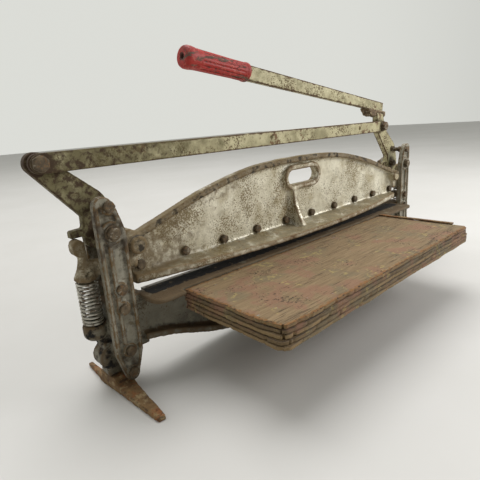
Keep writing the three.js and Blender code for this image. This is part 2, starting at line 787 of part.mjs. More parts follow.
function spring(side) {
  const wire = new THREE.Shape().absarc(0, 0, SPRING_WIRE_R, 0, 2 * Math.PI, false);
  const span = [SPRING_Z[0] + SPRING_WIRE_R, SPRING_Z[1] - SPRING_WIRE_R];
  const path = new Helix(side * SPRING_X, SPRING_Y, span, SPRING_TURNS, SPRING_COIL_R);
  const geometry = new THREE.ExtrudeGeometry(wire, {
    steps: SPRING_TURNS * 12,
    curveSegments: 3,
    extrudePath: path,
    bevelEnabled: false,
  });
  return solid(geometry);
}

// ---------------------------------------------------------------- assembly
const tileCutter = new THREE.Group();
const add = (name, body, material) => tileCutter.add(mesh(name, body, material));

add("base_casting", baseCasting(), FINISH.casting());
add("lower_blade", lowerBlade(), FINISH.blade());
add("board", slabZ(boardPlan(), BOARD.z), FINISH.plywood());
add("board_edge_strip", edgeStrip(), FINISH.rusty());
BRACKET_X.forEach((x, i) => add(`board_bracket_${i + 1}`, boardBracket(x), FINISH.rusty()));

add("blade_carrier", bladeCarrier(), FINISH.casting());
add("upper_blade", upperBlade(), FINISH.blade());
bladeBoltX().forEach((x, i) => add(`blade_bolt_${i + 1}`, bladeBolt(x), FINISH.rusty()));

for (const [name, side] of SIDES) {
  add(`front_upright_${name}`, frontUpright(side), FINISH.upright());
  add(`rear_upright_${name}`, rearUpright(side), FINISH.upright());
  add(`foot_${name}`, foot(side), FINISH.rusty());
  add(`foot_bolt_${name}`, footBolt(side), FINISH.rusty());
  add(`spring_${name}`, spring(side), FINISH.spring());
  add(`stop_spacer_${name}`, spacer(side), FINISH.rusty());
  add(`pivot_bolt_${name}`, pivotBolt(side), FINISH.rusty());
  add(`pivot_nut_${name}`, pivotNut(side), FINISH.rusty());
  add(`stop_bolt_${name}`, stopBolt(side), FINISH.rusty());
  add(`stop_nut_${name}`, stopNut(side), FINISH.rusty());
  add(`crank_${name}`, crank(side * POST_X, side > 0), FINISH.lever());
  add(`tie_bolt_${name}`, tieBolt(side), FINISH.rusty());
  add(`tie_nut_${name}`, tieNut(side), FINISH.rusty());
  for (const [key, z] of Object.entries(CLAMP_BOLT_Z))
    add(`clamp_bolt_${key}_${name}`, clampBolt(side, z), FINISH.rusty());
}

add("tie_bar", tieBar(), FINISH.lever());
add("handle_bar", handleBar(), FINISH.lever());
add("handle_grip", handleGrip(), FINISH.rubber());
add("handle_saddle", handleSaddle(), FINISH.rusty());

tileCutter.position.set(...ORIGIN_SHIFT);

export default tileCutter;
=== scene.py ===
"""The looks of a worn guillotine tile cutter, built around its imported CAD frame."""

import logging
import math
from collections.abc import Callable
from dataclasses import dataclass
from enum import Enum

import bmesh
import bpy
import numpy as np
from mathutils import Matrix, Vector, noise


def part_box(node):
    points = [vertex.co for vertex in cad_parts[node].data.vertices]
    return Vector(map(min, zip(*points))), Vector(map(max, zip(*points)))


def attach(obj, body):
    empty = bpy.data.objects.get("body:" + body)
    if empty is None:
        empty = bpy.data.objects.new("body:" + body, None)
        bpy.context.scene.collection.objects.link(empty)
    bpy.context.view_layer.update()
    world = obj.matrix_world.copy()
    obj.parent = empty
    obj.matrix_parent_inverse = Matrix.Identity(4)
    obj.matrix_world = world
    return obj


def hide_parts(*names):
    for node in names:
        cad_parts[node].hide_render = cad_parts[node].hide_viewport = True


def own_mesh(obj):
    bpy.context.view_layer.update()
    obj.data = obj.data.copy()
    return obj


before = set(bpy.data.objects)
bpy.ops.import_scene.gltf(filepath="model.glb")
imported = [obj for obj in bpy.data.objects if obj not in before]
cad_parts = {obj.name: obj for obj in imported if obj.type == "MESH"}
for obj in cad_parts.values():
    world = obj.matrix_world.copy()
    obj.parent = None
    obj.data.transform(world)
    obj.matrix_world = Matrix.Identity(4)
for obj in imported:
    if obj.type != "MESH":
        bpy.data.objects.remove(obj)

MM = 0.001
LOG = logging.getLogger("tile_cutter")

FULL_BEND = 0.09
"""How far a vertex stands off its neighbours, in spacings, where an edge or hollow is fully marked."""

LUMP_FRACTAL = (0.7, 2.2, 3)
"""A cast skin's lumps: how smooth they are, how much finer each octave is, and how many there are."""

MOTTLE_SPAN = (0.32, 0.68)
"""The noise levels between which a mottled colour goes from dark to light."""

TOP_SLOPES = (0.35, 0.85)
"""The upward part of a normal where a surface starts to count as a top, and where it fully does."""

Field = Callable[[np.ndarray], np.ndarray]


class Where(Enum):
    """The part of a surface that a coat gathers on, as the attribute that marks it."""

    ANYWHERE = ""
    EDGES = "edge"
    HOLLOWS = "hollow"
    TOPS = "top"
    # Marks real stains and rust, and also painted shade and painted shadow.
    STAINS = "stain"


class Side(Enum):
    """One end of the cutter."""

    LEFT = "left"
    RIGHT = "right"


# ---------------------------------------------------------------- small tools


def srgb(code: str) -> tuple[float, float, float, float]:
    """Turns an sRGB hex colour to linear.

    Args:
        code: the colour, such as "#a0b0c0".

    Returns:
        Red, green, blue and alpha.
    """
    values = [int(code[i : i + 2], 16) / 255 for i in (1, 3, 5)]
    linear = [v / 12.92 if v <= 0.04045 else ((v + 0.055) / 1.055) ** 2.4 for v in values]
    return (*linear, 1.0)


def add(tree: bpy.types.NodeTree, kind: str, inputs: dict | None = None, **settings) -> bpy.types.Node:
    """Adds a node with its settings and links.

    Args:
        tree: the node tree.
        kind: the node's type name.
        inputs: a value or a socket for each input, by name or number.
        **settings: the node's own properties.

    Returns:
        The new node.
    """
    made = tree.nodes.new(kind)
    for key, value in settings.items():
        setattr(made, key, value)
    for key, value in (inputs or {}).items():
        socket = made.inputs[key]
        if isinstance(value, bpy.types.NodeSocket):
            tree.links.new(value, socket)
        else:
            socket.default_value = value
    return made


def maths(
    tree: bpy.types.NodeTree, operation: str, *values: float | bpy.types.NodeSocket
) -> bpy.types.NodeSocket:
    """Adds a Math node.

    Args:
        tree: the node tree.
        operation: what it does, such as "ADD".
        *values: its inputs, in order.

    Returns:
        The result.
    """
    return add(tree, "ShaderNodeMath", dict(enumerate(values)), operation=operation).outputs[0]


def mixed(
    tree: bpy.types.NodeTree,
    cover: bpy.types.NodeSocket,
    under: bpy.types.NodeSocket | tuple[float, ...],
    over: bpy.types.NodeSocket | tuple[float, ...],
) -> bpy.types.NodeSocket:
    """Adds a Mix node for two colours.

    Args:
        tree: the node tree.
        cover: how much of the upper colour shows.
        under: the lower colour.
        over: the upper colour.

    Returns:
        The mixed colour.
    """
    return add(tree, "ShaderNodeMix", {0: cover, 6: under, 7: over}, data_type="RGBA").outputs[2]


def ramp(
    tree: bpy.types.NodeTree,
    value: bpy.types.NodeSocket,
    start: float | bpy.types.NodeSocket,
    end: float | bpy.types.NodeSocket,
    full: float | bpy.types.NodeSocket = 1.0,
    **settings,
) -> bpy.types.NodeSocket:
    """Adds a Map Range node that rises from 0.

    Args:
        tree: the node tree.
        value: what it follows.
        start: the value at which it leaves 0.
        end: the value at which it is full.
        full: how high it gets.
        **settings: the node's own properties.

    Returns:
        The result.
    """
    inputs = {"Value": value, "From Min": start, "From Max": end, "To Max": full}
    return add(tree, "ShaderNodeMapRange", inputs, **settings).outputs["Result"]


def to_mesh(shape: bmesh.types.BMesh, name: str) -> bpy.types.Mesh:
    """Turns a finished shape into a mesh and frees the shape."""
    mesh = bpy.data.meshes.new(name)
    shape.to_mesh(mesh)
    shape.free()
    return mesh


def stitch(shape: bmesh.types.BMesh, rows: list[list[bmesh.types.BMVert]]) -> list[bmesh.types.BMFace]:
    """Joins each closed row of vertices to the next with four-sided faces.

    Args:
        shape: the mesh in the making.
        rows: the rows, all of the same length.

    Returns:
        The new faces.
    """
    faces = []
    for lower, upper in zip(rows, rows[1:]):
        for i in range(len(lower)):
            j = (i + 1) % len(lower)
            faces.append(shape.faces.new((lower[i], lower[j], upper[j], upper[i])))
    return faces


def new_object(name: str, mesh: bpy.types.Mesh) -> bpy.types.Object:
    """Links a mesh to the scene as an object at the origin."""
    made = bpy.data.objects.new(name, mesh)
    bpy.context.scene.collection.objects.link(made)
    return made


def settled(source: bpy.types.Object, name: str) -> bpy.types.Object:
    """Turns an object with modifiers into a plain mesh object.

    Args:
        source: the object, which is removed.
        name: the new object's name.

    Returns:
        The plain object.
    """
    bpy.context.view_layer.update()
    graph = bpy.context.evaluated_depsgraph_get()
    mesh = bpy.data.meshes.new_from_object(source.evaluated_get(graph), depsgraph=graph)
    bpy.data.objects.remove(source)
    mesh.name = name
    return new_object(name, mesh)


def points_of(mesh: bpy.types.Mesh) -> np.ndarray:
    """The mesh's vertices, one row each."""
    flat = np.empty(len(mesh.vertices) * 3)
    mesh.vertices.foreach_get("co", flat)
    return flat.reshape(-1, 3)


def set_attribute(mesh: bpy.types.Mesh, where: Where, values: np.ndarray) -> None:
    """Stores one number for each vertex under a coat's attribute name.

    Args:
        mesh: the mesh.
        where: the attribute.
        values: the numbers, which are kept from 0 to 1.
    """
    attribute = mesh.attributes.get(where.value) or mesh.attributes.new(where.value, "FLOAT", "POINT")
    attribute.data.foreach_set("value", np.clip(values, 0, 1).astype(np.float32))


def ease(value: np.ndarray, start: float, end: float) -> np.ndarray:
    """A smooth step.

    Args:
        value: where to read it.
        start: where it leaves 0.
        end: where it reaches 1.

    Returns:
        Its height at each value.
    """
    t = np.clip((value - start) / (end - start), 0, 1)
    return t * t * (3 - 2 * t)


def fade(value: np.ndarray, start: float, end: float) -> np.ndarray:
    """The same step the other way: 1 at start, 0 at end."""
    return 1 - ease(value, start, end)


def cad_centre(node: str) -> Vector:
    """The middle of a CAD node's box."""
    low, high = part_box(node)
    return (low + high) / 2


# ---------------------------------------------------------------- finishes


@dataclass(frozen=True)
class Coat:
    """One layer on a surface, such as rust, dirt, painted shade and painted highlights, which covers it in
    blotches.

    Attributes:
        blotch_mm, start, full: the blotches' size, and the noise levels where they start and are full.
        where, pull: the marked part of the surface they favour, and how strongly.
        patch_mm, gather: the size of the patches they gather in, and how strongly.
        lift: how far the coat stands above the surface, against its grain.
        strength: how much it covers at most.
        grained: whether its blotches are drawn out along the finish's grain.
    """

    colour: str
    blotch_mm: float
    start: float
    full: float
    where: Where = Where.ANYWHERE
    pull: float = 0.0
    patch_mm: float = 60.0
    gather: float = 0.0
    roughness: float = 0.85
    metallic: float = 0.0
    lift: float = 0.3
    strength: float = 1.0
    grained: bool = False

    def mask(self, tree: bpy.types.NodeTree, place: bpy.types.NodeSocket) -> bpy.types.NodeSocket:
        """Adds the nodes that say how much the coat covers each point.

        Args:
            tree: the material's nodes.
            place: the coordinates.

        Returns:
            The cover, from 0 to 1.
        """
        level = blotches(tree, place, self.blotch_mm, 4.0)
        if self.gather:
            patch = blotches(tree, place, self.patch_mm, 2.0)
            level = maths(tree, "MULTIPLY_ADD", maths(tree, "ADD", patch, -0.5), self.gather, level)
        if self.where is not Where.ANYWHERE:
            marked = add(tree, "ShaderNodeAttribute", attribute_name=self.where.value).outputs["Fac"]
            level = maths(tree, "MULTIPLY_ADD", marked, self.pull, level)
        return ramp(tree, level, self.start, self.full, self.strength, interpolation_type="SMOOTHSTEP")


def blotches(
    tree: bpy.types.NodeTree, place: bpy.types.NodeSocket, size_mm: float, detail: float
) -> bpy.types.NodeSocket:
    """Adds a noise pattern whose blotches have a real size.

    Args:
        tree: the material's nodes.
        place: the coordinates, in metres.
        size_mm: how far apart the blotches are.
        detail: how many finer octaves they have.

    Returns:
        The pattern's level, around 0.5.
    """
    inputs = {"Vector": place, "Scale": 1 / (size_mm * MM), "Detail": detail, "Roughness": 0.6}
    return add(tree, "ShaderNodeTexNoise", inputs).outputs["Fac"]


@dataclass(frozen=True)
class Finish:
    """A base material under any number of coats, over one Principled shader."""

    name: str
    light: str
    dark: str
    mottle_mm: float
    roughness: float
    metallic: float
    relief_mm: float
    grain_mm: float
    coats: tuple[Coat, ...] = ()
    stretch: tuple[float, float, float] = (1.0, 1.0, 1.0)

    def build(self) -> bpy.types.Material:
        """Builds the material, once for each name.

        Returns:
            The material.
        """
        known = bpy.data.materials.get(self.name)
        if known:
            return known
        material = bpy.data.materials.new(self.name)
        material.use_nodes = True
        tree = material.node_tree
        tree.nodes.clear()
        place = add(tree, "ShaderNodeTexCoord").outputs["Object"]
        drawn = add(tree, "ShaderNodeMapping", {"Vector": place, "Scale": self.stretch}).outputs[0]
        colour = self.base(tree, drawn)
        height = blotches(tree, drawn, self.grain_mm, 3.0)
        roughness, metallic = self.roughness, self.metallic
        for coat in self.coats:
            cover = coat.mask(tree, drawn if coat.grained else place)
            colour = mixed(tree, cover, colour, srgb(coat.colour))
            roughness = add(tree, "ShaderNodeMix", {0: cover, 2: roughness, 3: coat.roughness}).outputs[0]
            if self.metallic or coat.metallic:
                metallic = add(tree, "ShaderNodeMix", {0: cover, 2: metallic, 3: coat.metallic}).outputs[0]
            height = maths(tree, "MULTIPLY_ADD", cover, coat.lift, height)
        bump = add(tree, "ShaderNodeBump", {"Height": height, "Distance": self.relief_mm * MM})
        shader = add(
            tree,
            "ShaderNodeBsdfPrincipled",
            {
                "Base Color": colour,
                "Roughness": roughness,
                "Metallic": metallic,
                "Normal": bump.outputs["Normal"],
            },
        )
        add(tree, "ShaderNodeOutputMaterial", {"Surface": shader.outputs["BSDF"]})
        return material

    def base(self, tree: bpy.types.NodeTree, place: bpy.types.NodeSocket) -> bpy.types.NodeSocket:
        """Adds the clean material's own mottled colour.

        Args:
            tree: the material's nodes.
            place: the coordinates.

        Returns:
            The colour.
        """
        level = blotches(tree, place, self.mottle_mm, 5.0)
        return mixed(tree, ramp(tree, level, *MOTTLE_SPAN), srgb(self.dark), srgb(self.light))


@dataclass(frozen=True)
class WornPlywood(Finish):
    """Softwood plywood: sanded face veneer on top, alternating end grain on the sides."""

    ply_light: str = "#a08560"
    ply_dark: str = "#4b3220"
    fibre: float = 0.6

    def base(self, tree: bpy.types.NodeTree, place: bpy.types.NodeSocket) -> bpy.types.NodeSocket:
        """Adds the face veneer's grain, and the plies where the board is cut.

        Args:
            tree: the material's nodes.
            place: the coordinates, already stretched along the grain.

        Returns:
            The colour.
        """
        face = Finish.base(self, tree, place)
        ply = add(tree, "ShaderNodeAttribute", attribute_name="ply").outputs["Fac"]
        fibre = blotches(tree, place, 2.0, 3.0)
        level = ramp(tree, maths(tree, "MULTIPLY_ADD", fibre, self.fibre, ply), 0.1, 1.1)
        cut = mixed(tree, level, srgb(self.ply_dark), srgb(self.ply_light))
        side = add(tree, "ShaderNodeAttribute", attribute_name="side").outputs["Fac"]
        return mixed(tree, side, face, cut)


# Sand-cast aluminium under brushed silver paint: a pale, slightly metallic grey with a pebbled skin,
# freckled with rust-coloured dirt that gathers in clouds, tan on what faces up and brown along the edges.
# Painted highlight: pale in the hollows. Painted shade: dark over the left end, mixed with brown dirt,
# round the left boss, and as painted shadow beside each blade bolt.
SILVER_PAINTED_CASTING = Finish(
    name="silver_painted_sand_casting",
    light="#ece7d3",
    dark="#c4bca3",
    mottle_mm=30,
    roughness=0.42,
    metallic=0.35,
    relief_mm=0.45,
    grain_mm=2.6,
    coats=(
        Coat("#786d52", 24, 0.55, 0.85, Where.TOPS, pull=0.34, roughness=0.8, lift=0.0, strength=0.9),
        Coat("#9a8c6c", 5, 0.86, 1.0, Where.TOPS, pull=0.40, roughness=0.8, lift=0.1, strength=0.6),
        Coat(
            "#7a4a2a", 7, 1.06, 1.14, Where.TOPS,
            pull=0.40, patch_mm=40, gather=0.3, lift=0.1, strength=0.8,
        ),
        # Painted highlight: pale, slightly metallic paint in the hollows, brightest along the fillet above
        # the ledge.
        Coat(
            "#d8d4c6", 20, 0.62, 0.86, Where.HOLLOWS,
            pull=0.30, roughness=0.4, metallic=0.3, lift=0.0, strength=0.8,
        ),
        Coat("#a3936a", 18, 0.50, 0.72, patch_mm=70, gather=0.6, lift=0.0, strength=0.45),
        Coat("#75633a", 1.8, 0.545, 0.62, patch_mm=46, gather=0.6, lift=0.25, strength=0.85),
        Coat("#6b5433", 4, 0.62, 0.72, patch_mm=30, gather=0.6, lift=0.15, strength=0.55),
        Coat("#7d6747", 8, 0.50, 1.10, Where.EDGES, pull=0.56, lift=0.0, strength=0.9),
        Coat("#5c4023", 6, 0.86, 1.04, Where.EDGES, pull=0.40, lift=-0.1, strength=0.85),
        # Mid brown: dirt on the top flange's front, a darker band under the flange towards the left end, and
        # painted shade mixed with brown dirt over the left end. Near black: painted shade round the left boss
        # and painted shadow beside each blade bolt, with dark patches on the flange's front.
        Coat("#6c5a3c", 10, 0.75, 1.15, Where.STAINS, pull=0.8, lift=0.0, strength=0.85),
        Coat("#2d261b", 9, 1.14, 1.32, Where.STAINS, pull=0.8, lift=0.0, strength=0.95),
    ),
)

# The base casting's silver paint, greasy and dark from years under the board, with brown dirt
# lying on the bed. Painted shade darkens its hollows and its left end, and a near-black painted
# shadow lies along the back of the bed under the carrier's ledge.
GREASY_PAINTED_CASTING = Finish(
    name="greasy_silver_sand_casting",
    light="#827d6c",
    dark="#5f5a4b",
    mottle_mm=34,
    roughness=0.5,
    metallic=0.25,
    relief_mm=0.45,
    grain_mm=2.8,
    coats=(
        Coat("#574328", 12, 0.55, 0.80, Where.TOPS, pull=0.42, roughness=0.8, lift=0.0, strength=0.9),
        Coat(
            "#8d8874", 14, 0.56, 0.70,
            patch_mm=60, gather=0.5, roughness=0.45, metallic=0.3, lift=0.0, strength=0.5,
        ),
        Coat("#4b3c26", 2.2, 0.56, 0.66, patch_mm=40, gather=0.6, strength=0.8),
        Coat("#5e4c33", 10, 0.50, 1.05, Where.EDGES, pull=0.52, lift=0.0, strength=0.9),
        # Painted shade in the hollows.
        Coat("#332b1f", 9, 0.62, 0.95, Where.HOLLOWS, pull=0.38, lift=0.0, strength=0.8),
        # Mid brown: rust on the spring cups and legs and painted shade towards the left end. Near black: a
        # painted shadow along the back of the bed under the carrier's ledge, and dark patches on the cups and
        # legs.
        Coat("#4a3622", 9, 0.80, 1.15, Where.STAINS, pull=0.5, strength=0.9),
        Coat("#0f0c08", 9, 1.18, 1.34, Where.STAINS, pull=0.9, roughness=0.9, lift=0.0),
    ),
)

# The same silver paint on the iron uprights, which are handled and greased: dull grey in the channels,
# rubbed through to orange-brown rust on every rib, with painted shade in the hollows and towards the left
# end.
SILVER_PAINTED_IRON = Finish(
    name="silver_painted_cast_iron",
    light="#a5a192",
    dark="#78715f",
    mottle_mm=18,
    roughness=0.5,
    metallic=0.3,
    relief_mm=0.5,
    grain_mm=2.4,
    coats=(
        Coat("#51472f", 9, 0.50, 0.68, patch_mm=40, gather=0.5, strength=0.75),
        Coat("#69512f", 9, 0.58, 0.84, Where.EDGES, pull=0.42, lift=-0.1, strength=0.9),
        Coat("#6d5536", 3, 0.60, 0.70, patch_mm=25, gather=0.6, strength=0.7),
        Coat(
            "#b3ae9f", 4, 0.74, 0.86, Where.EDGES,
            pull=0.22, roughness=0.35, metallic=0.6, lift=0.1, strength=0.7,
        ),
        # Painted shade in the hollows.
        Coat("#2f281d", 7, 0.62, 0.95, Where.HOLLOWS, pull=0.32, lift=0.0, strength=0.6),
        # Greasy dirt round the pivot and foot, and painted shade towards the left end.
        Coat("#3b3023", 8, 0.66, 1.0, Where.STAINS, pull=0.55, lift=0.0, strength=0.85),
    ),
)

# Brush-painted flat bar steel: old cream enamel gone greenish, chipped in freckles down to rust.
CREAM_PAINTED_BAR = Finish(
    name="cream_painted_bar_steel",
    light="#c6be96",
    dark="#a29870",
    mottle_mm=24,
    roughness=0.5,
    metallic=0.05,
    relief_mm=0.35,
    grain_mm=2.2,
    coats=(
        Coat("#87805b", 20, 0.50, 0.70, patch_mm=80, gather=0.5, roughness=0.7, lift=0.0, strength=0.7),
        Coat("#5a4526", 2.2, 0.57, 0.64, patch_mm=36, gather=0.7, lift=-0.4, strength=0.9),
        Coat("#6b4526", 9, 0.62, 0.70, patch_mm=60, gather=0.7, lift=-0.2, strength=0.8),
        Coat("#553f28", 9, 0.58, 0.86, Where.EDGES, pull=0.42, lift=-0.2),
        # Greasy dirt round the pins and pivots, and painted shade darkening the levers towards the left end.
        Coat("#605838", 16, 0.70, 1.15, Where.STAINS, pull=0.75, lift=0.0, strength=0.85),
        Coat("#3a2514", 6, 1.02, 1.22, Where.STAINS, pull=0.75, strength=0.9),
    ),
)

# Hot-rolled steel left to rust: dark scale with orange bloom, rubbed grey where tools touch it.
RUSTY_BOLT_STEEL = Finish(
    name="rusty_bolt_steel",
    light="#75664f",
    dark="#43372a",
    mottle_mm=6,
    roughness=0.7,
    metallic=0.35,
    relief_mm=0.4,
    grain_mm=1.3,
    coats=(
        Coat("#75532f", 3, 0.54, 0.66, patch_mm=25, gather=0.6, lift=0.3, strength=0.75),
        Coat(
            "#a09a8a", 4, 0.58, 0.70,
            patch_mm=24, gather=0.5, roughness=0.4, metallic=0.8, lift=-0.2, strength=0.75,
        ),
        Coat("#1f1812", 3, 0.62, 0.72, lift=-0.4, strength=0.8),
    ),
)

# Forged steel feet: ochre rust worn pale where they scrape the floor.
RUSTY_FORGED_STEEL = Finish(
    name="rusty_forged_steel",
    light="#8b6f48",
    dark="#5b4128",
    mottle_mm=16,
    roughness=0.82,
    metallic=0.15,
    relief_mm=0.5,
    grain_mm=2.0,
    coats=(
        Coat("#a08d68", 9, 0.54, 0.68, patch_mm=45, gather=0.5, strength=0.7),
        Coat("#8f5428", 5, 0.56, 0.68, patch_mm=30, gather=0.6, strength=0.8),
        # Painted shade in the hollows.
        Coat("#38281a", 5, 0.58, 0.72, Where.HOLLOWS, pull=0.3, strength=0.8),
        Coat("#3b2b1c", 7, 0.62, 0.74, Where.EDGES, pull=0.15, strength=0.7),
    ),
)

# Stick-welded steel: lumpy brown bead with spatter, cream paint caught on the crests.
RUSTY_WELD = Finish(
    name="rusty_stick_weld",
    light="#80694a",
    dark="#493824",
    mottle_mm=7,
    roughness=0.7,
    metallic=0.15,
    relief_mm=0.8,
    grain_mm=2.2,
    coats=(
        Coat("#c4b898", 4, 0.60, 0.74, Where.EDGES, pull=0.16, roughness=0.55, strength=0.8),
        Coat("#7a4f2b", 4, 0.58, 0.68, patch_mm=14, gather=0.5, strength=0.8),
        # Painted shade in the hollows of the bead.
        Coat("#2c2116", 4, 0.60, 0.76, Where.HOLLOWS, pull=0.3),
    ),
)

# Drawn spring wire: bright grey steel with rust between the coils.
DRAWN_SPRING_STEEL = Finish(
    name="drawn_spring_steel",
    light="#c9c5ba",
    dark="#9a9588",
    mottle_mm=9,
    roughness=0.3,
    metallic=0.9,
    relief_mm=0.12,
    grain_mm=1.2,
    coats=(
        Coat("#5a4128", 5, 0.52, 0.66, patch_mm=16, gather=0.5, strength=0.9),
        Coat("#2f261b", 3, 0.60, 0.72, strength=0.8),
    ),
)

# Ground tool steel, oxidised brown-grey behind the bright cutting bevel.
GROUND_BLADE_STEEL = Finish(
    name="ground_tool_steel",
    light="#8f897e",
    dark="#5f564a",
    mottle_mm=20,
    roughness=0.42,
    metallic=0.8,
    relief_mm=0.1,
    grain_mm=1.6,
    stretch=(0.15, 1.0, 1.0),
    coats=(Coat("#5c4129", 6, 0.54, 0.68, patch_mm=50, gather=0.6, strength=0.9),),
)

# Moulded rubber grip: dull red, worn to grey along the ribs where the palm rubs.
MOULDED_RED_RUBBER = Finish(
    name="moulded_red_rubber",
    light="#b5271d",
    dark="#8c1b15",
    mottle_mm=14,
    roughness=0.55,
    metallic=0.0,
    relief_mm=0.35,
    grain_mm=3.0,
    stretch=(0.22, 1.0, 1.0),
    coats=(
        Coat("#5b5145", 4, 0.58, 0.64, patch_mm=15, gather=0.8, lift=-0.3, strength=0.9, grained=True),
        Coat("#33241e", 3.4, 0.64, 0.70, patch_mm=22, gather=0.5, lift=-0.3, strength=0.8),
        Coat("#c06a58", 4, 0.66, 0.76, Where.EDGES, pull=0.12, roughness=0.7, strength=0.5),
        # Painted shade in the grooves between the ribs and inside the hanging hole.
        Coat("#46322b", 5, 0.60, 0.85, Where.STAINS, pull=0.4, strength=0.9),
    ),
)

# Exterior plywood worn by tiles: pinkish-tan veneer with long grain, traces of grey, ochre and pale
# blue paint, dark bruises, and dark end grain between torn light plies on the sides.
WORN_PLYWOOD_SHEET = WornPlywood(
    name="worn_exterior_plywood",
    light="#8b7555",
    dark="#6c573a",
    mottle_mm=2.6,
    roughness=0.75,
    metallic=0.0,
    relief_mm=0.5,
    grain_mm=1.8,
    stretch=(0.07, 1.0, 1.0),
    coats=(
        Coat("#6c6149", 34, 0.50, 0.64, patch_mm=120, gather=0.6, roughness=0.8, lift=0.0, strength=0.6),
        Coat("#85604b", 24, 0.50, 0.66, patch_mm=90, gather=0.7, lift=0.0, strength=0.65),
        Coat("#a8955c", 7, 0.64, 0.74, patch_mm=34, gather=0.9, lift=0.2, strength=0.5),
        Coat("#41301e", 2.0, 0.62, 0.71, patch_mm=30, gather=0.6, lift=-0.6, strength=0.7, grained=True),
        Coat("#33261a", 3.2, 0.66, 0.72, patch_mm=44, gather=0.7, lift=-0.5, strength=0.85),
        Coat("#7f9092", 5, 0.80, 0.84, patch_mm=12, gather=0.9, lift=0.2, strength=0.6),
        Coat("#7c5529", 4, 0.62, 0.88, Where.EDGES, pull=0.42, lift=0.2, strength=0.9),
        Coat("#2b1e12", 3.5, 0.74, 0.84, Where.EDGES, pull=0.26, lift=-0.5, strength=0.9),
    ),
    ply_light="#8f7750",
    ply_dark="#2c1d12",
)

# Painted floor: pale, nearly flat.
PALE_FLOOR = Finish(
    name="pale_floor_paint",
    light="#cdcbc8",
    dark="#c7c5c1",
    mottle_mm=400,
    roughness=0.65,
    metallic=0.0,
    relief_mm=0.05,
    grain_mm=30,
)


# ---------------------------------------------------------------- castings and forgings


@dataclass
class Casting:
    """A CAD solid given the soft corners, fillets and uneven skin of a cast or forged piece."""

    node: str
    body: str
    slot: str
    finish: Finish
    voxel_mm: float = 1.6
    rounds: int = 4
    lump_mm: float = 0.25
    lump_size_mm: float = 16.0
    stain: Field | None = None
    name: str = ""

    def build(self) -> bpy.types.Object:
        """Makes the piece and puts it on its body in place of the CAD node.

        Returns:
            The finished object.
        """
        piece = self.skin()
        self.roughen(piece.data)
        mark_wear_and_shade(piece.data, self.voxel_mm)
        if self.stain:
            set_attribute(piece.data, Where.STAINS, self.stain(points_of(piece.data) / MM))
        piece.data.materials.clear()
        piece.data.materials.append(self.finish.build())
        piece.data.shade_smooth()
        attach(piece, self.body)
        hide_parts(self.node)
        LOG.info("%s: %d faces", piece.name, len(piece.data.polygons))
        return piece

    def skin(self) -> bpy.types.Object:
        """Copies the CAD solid, closes it over a fine grid and smooths its corners."""
        shell = bmesh.new()
        shell.from_mesh(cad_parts[self.node].data)
        bmesh.ops.remove_doubles(shell, verts=shell.verts, dist=1e-6)
        rough = new_object("shell", to_mesh(shell, "shell"))
        grid = rough.modifiers.new("grid", "REMESH")
        grid.mode = "VOXEL"
        grid.voxel_size = self.voxel_mm * MM
        soften = rough.modifiers.new("soften", "SMOOTH")
        soften.factor = 0.5
        soften.iterations = self.rounds
        return settled(rough, self.name or f"{self.node}_cast")

    def roughen(self, mesh: bpy.types.Mesh) -> None:
        """Moves the skin in and out by a fraction of a millimetre, inside the CAD node's box."""
        where = points_of(mesh)
        normals = np.empty(len(mesh.vertices) * 3)
        mesh.vertices.foreach_get("normal", normals)
        scale = 1 / (self.lump_size_mm * MM)
        lumps = np.array([noise.fractal(Vector(p) * scale, *LUMP_FRACTAL) for p in where])
        where += normals.reshape(-1, 3) * (lumps * self.lump_mm * MM)[:, None]
        low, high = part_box(self.node)
        mesh.vertices.foreach_set("co", np.clip(where, low, high).ravel())
        mesh.update()


def mark_wear_and_shade(mesh: bpy.types.Mesh, spacing_mm: float, passes: int = 3) -> None:
    """Marks the edges that rub bare, the hollows that coats darken as painted shade (on the carrier, brighten
    as a painted highlight), and what faces up.

    Args:
        mesh: an evenly meshed surface.
        spacing_mm: how far apart its vertices are.
        passes: how many vertices wide the marks spread.
    """
    count = len(mesh.vertices)
    where = points_of(mesh)
    pairs = np.empty(len(mesh.edges) * 2, np.int32)
    mesh.edges.foreach_get("vertices", pairs)
    a, b = pairs.reshape(-1, 2).T
    degree = np.maximum(np.bincount(a, minlength=count) + np.bincount(b, minlength=count), 1)

    def around(values: np.ndarray) -> np.ndarray:
        """The mean over each vertex's neighbours."""
        total = np.bincount(a, values[b], count) + np.bincount(b, values[a], count)
        return total / degree

    normals = np.empty(count * 3)
    mesh.vertices.foreach_get("normal", normals)
    normals = normals.reshape(-1, 3)
    pull = np.stack([around(where[:, k]) for k in range(3)], 1) - where
    bend = (pull * normals).sum(1) / (spacing_mm * MM)
    for _ in range(passes):
        bend = (bend + around(bend)) / 2
    set_attribute(mesh, Where.EDGES, -bend / FULL_BEND)
    # The hollow mark drives painted shade, and on the carrier a painted highlight.
    set_attribute(mesh, Where.HOLLOWS, bend / FULL_BEND)
    set_attribute(mesh, Where.TOPS, ease(normals[:, 2], *TOP_SLOPES))


# ---------------------------------------------------------------- fasteners


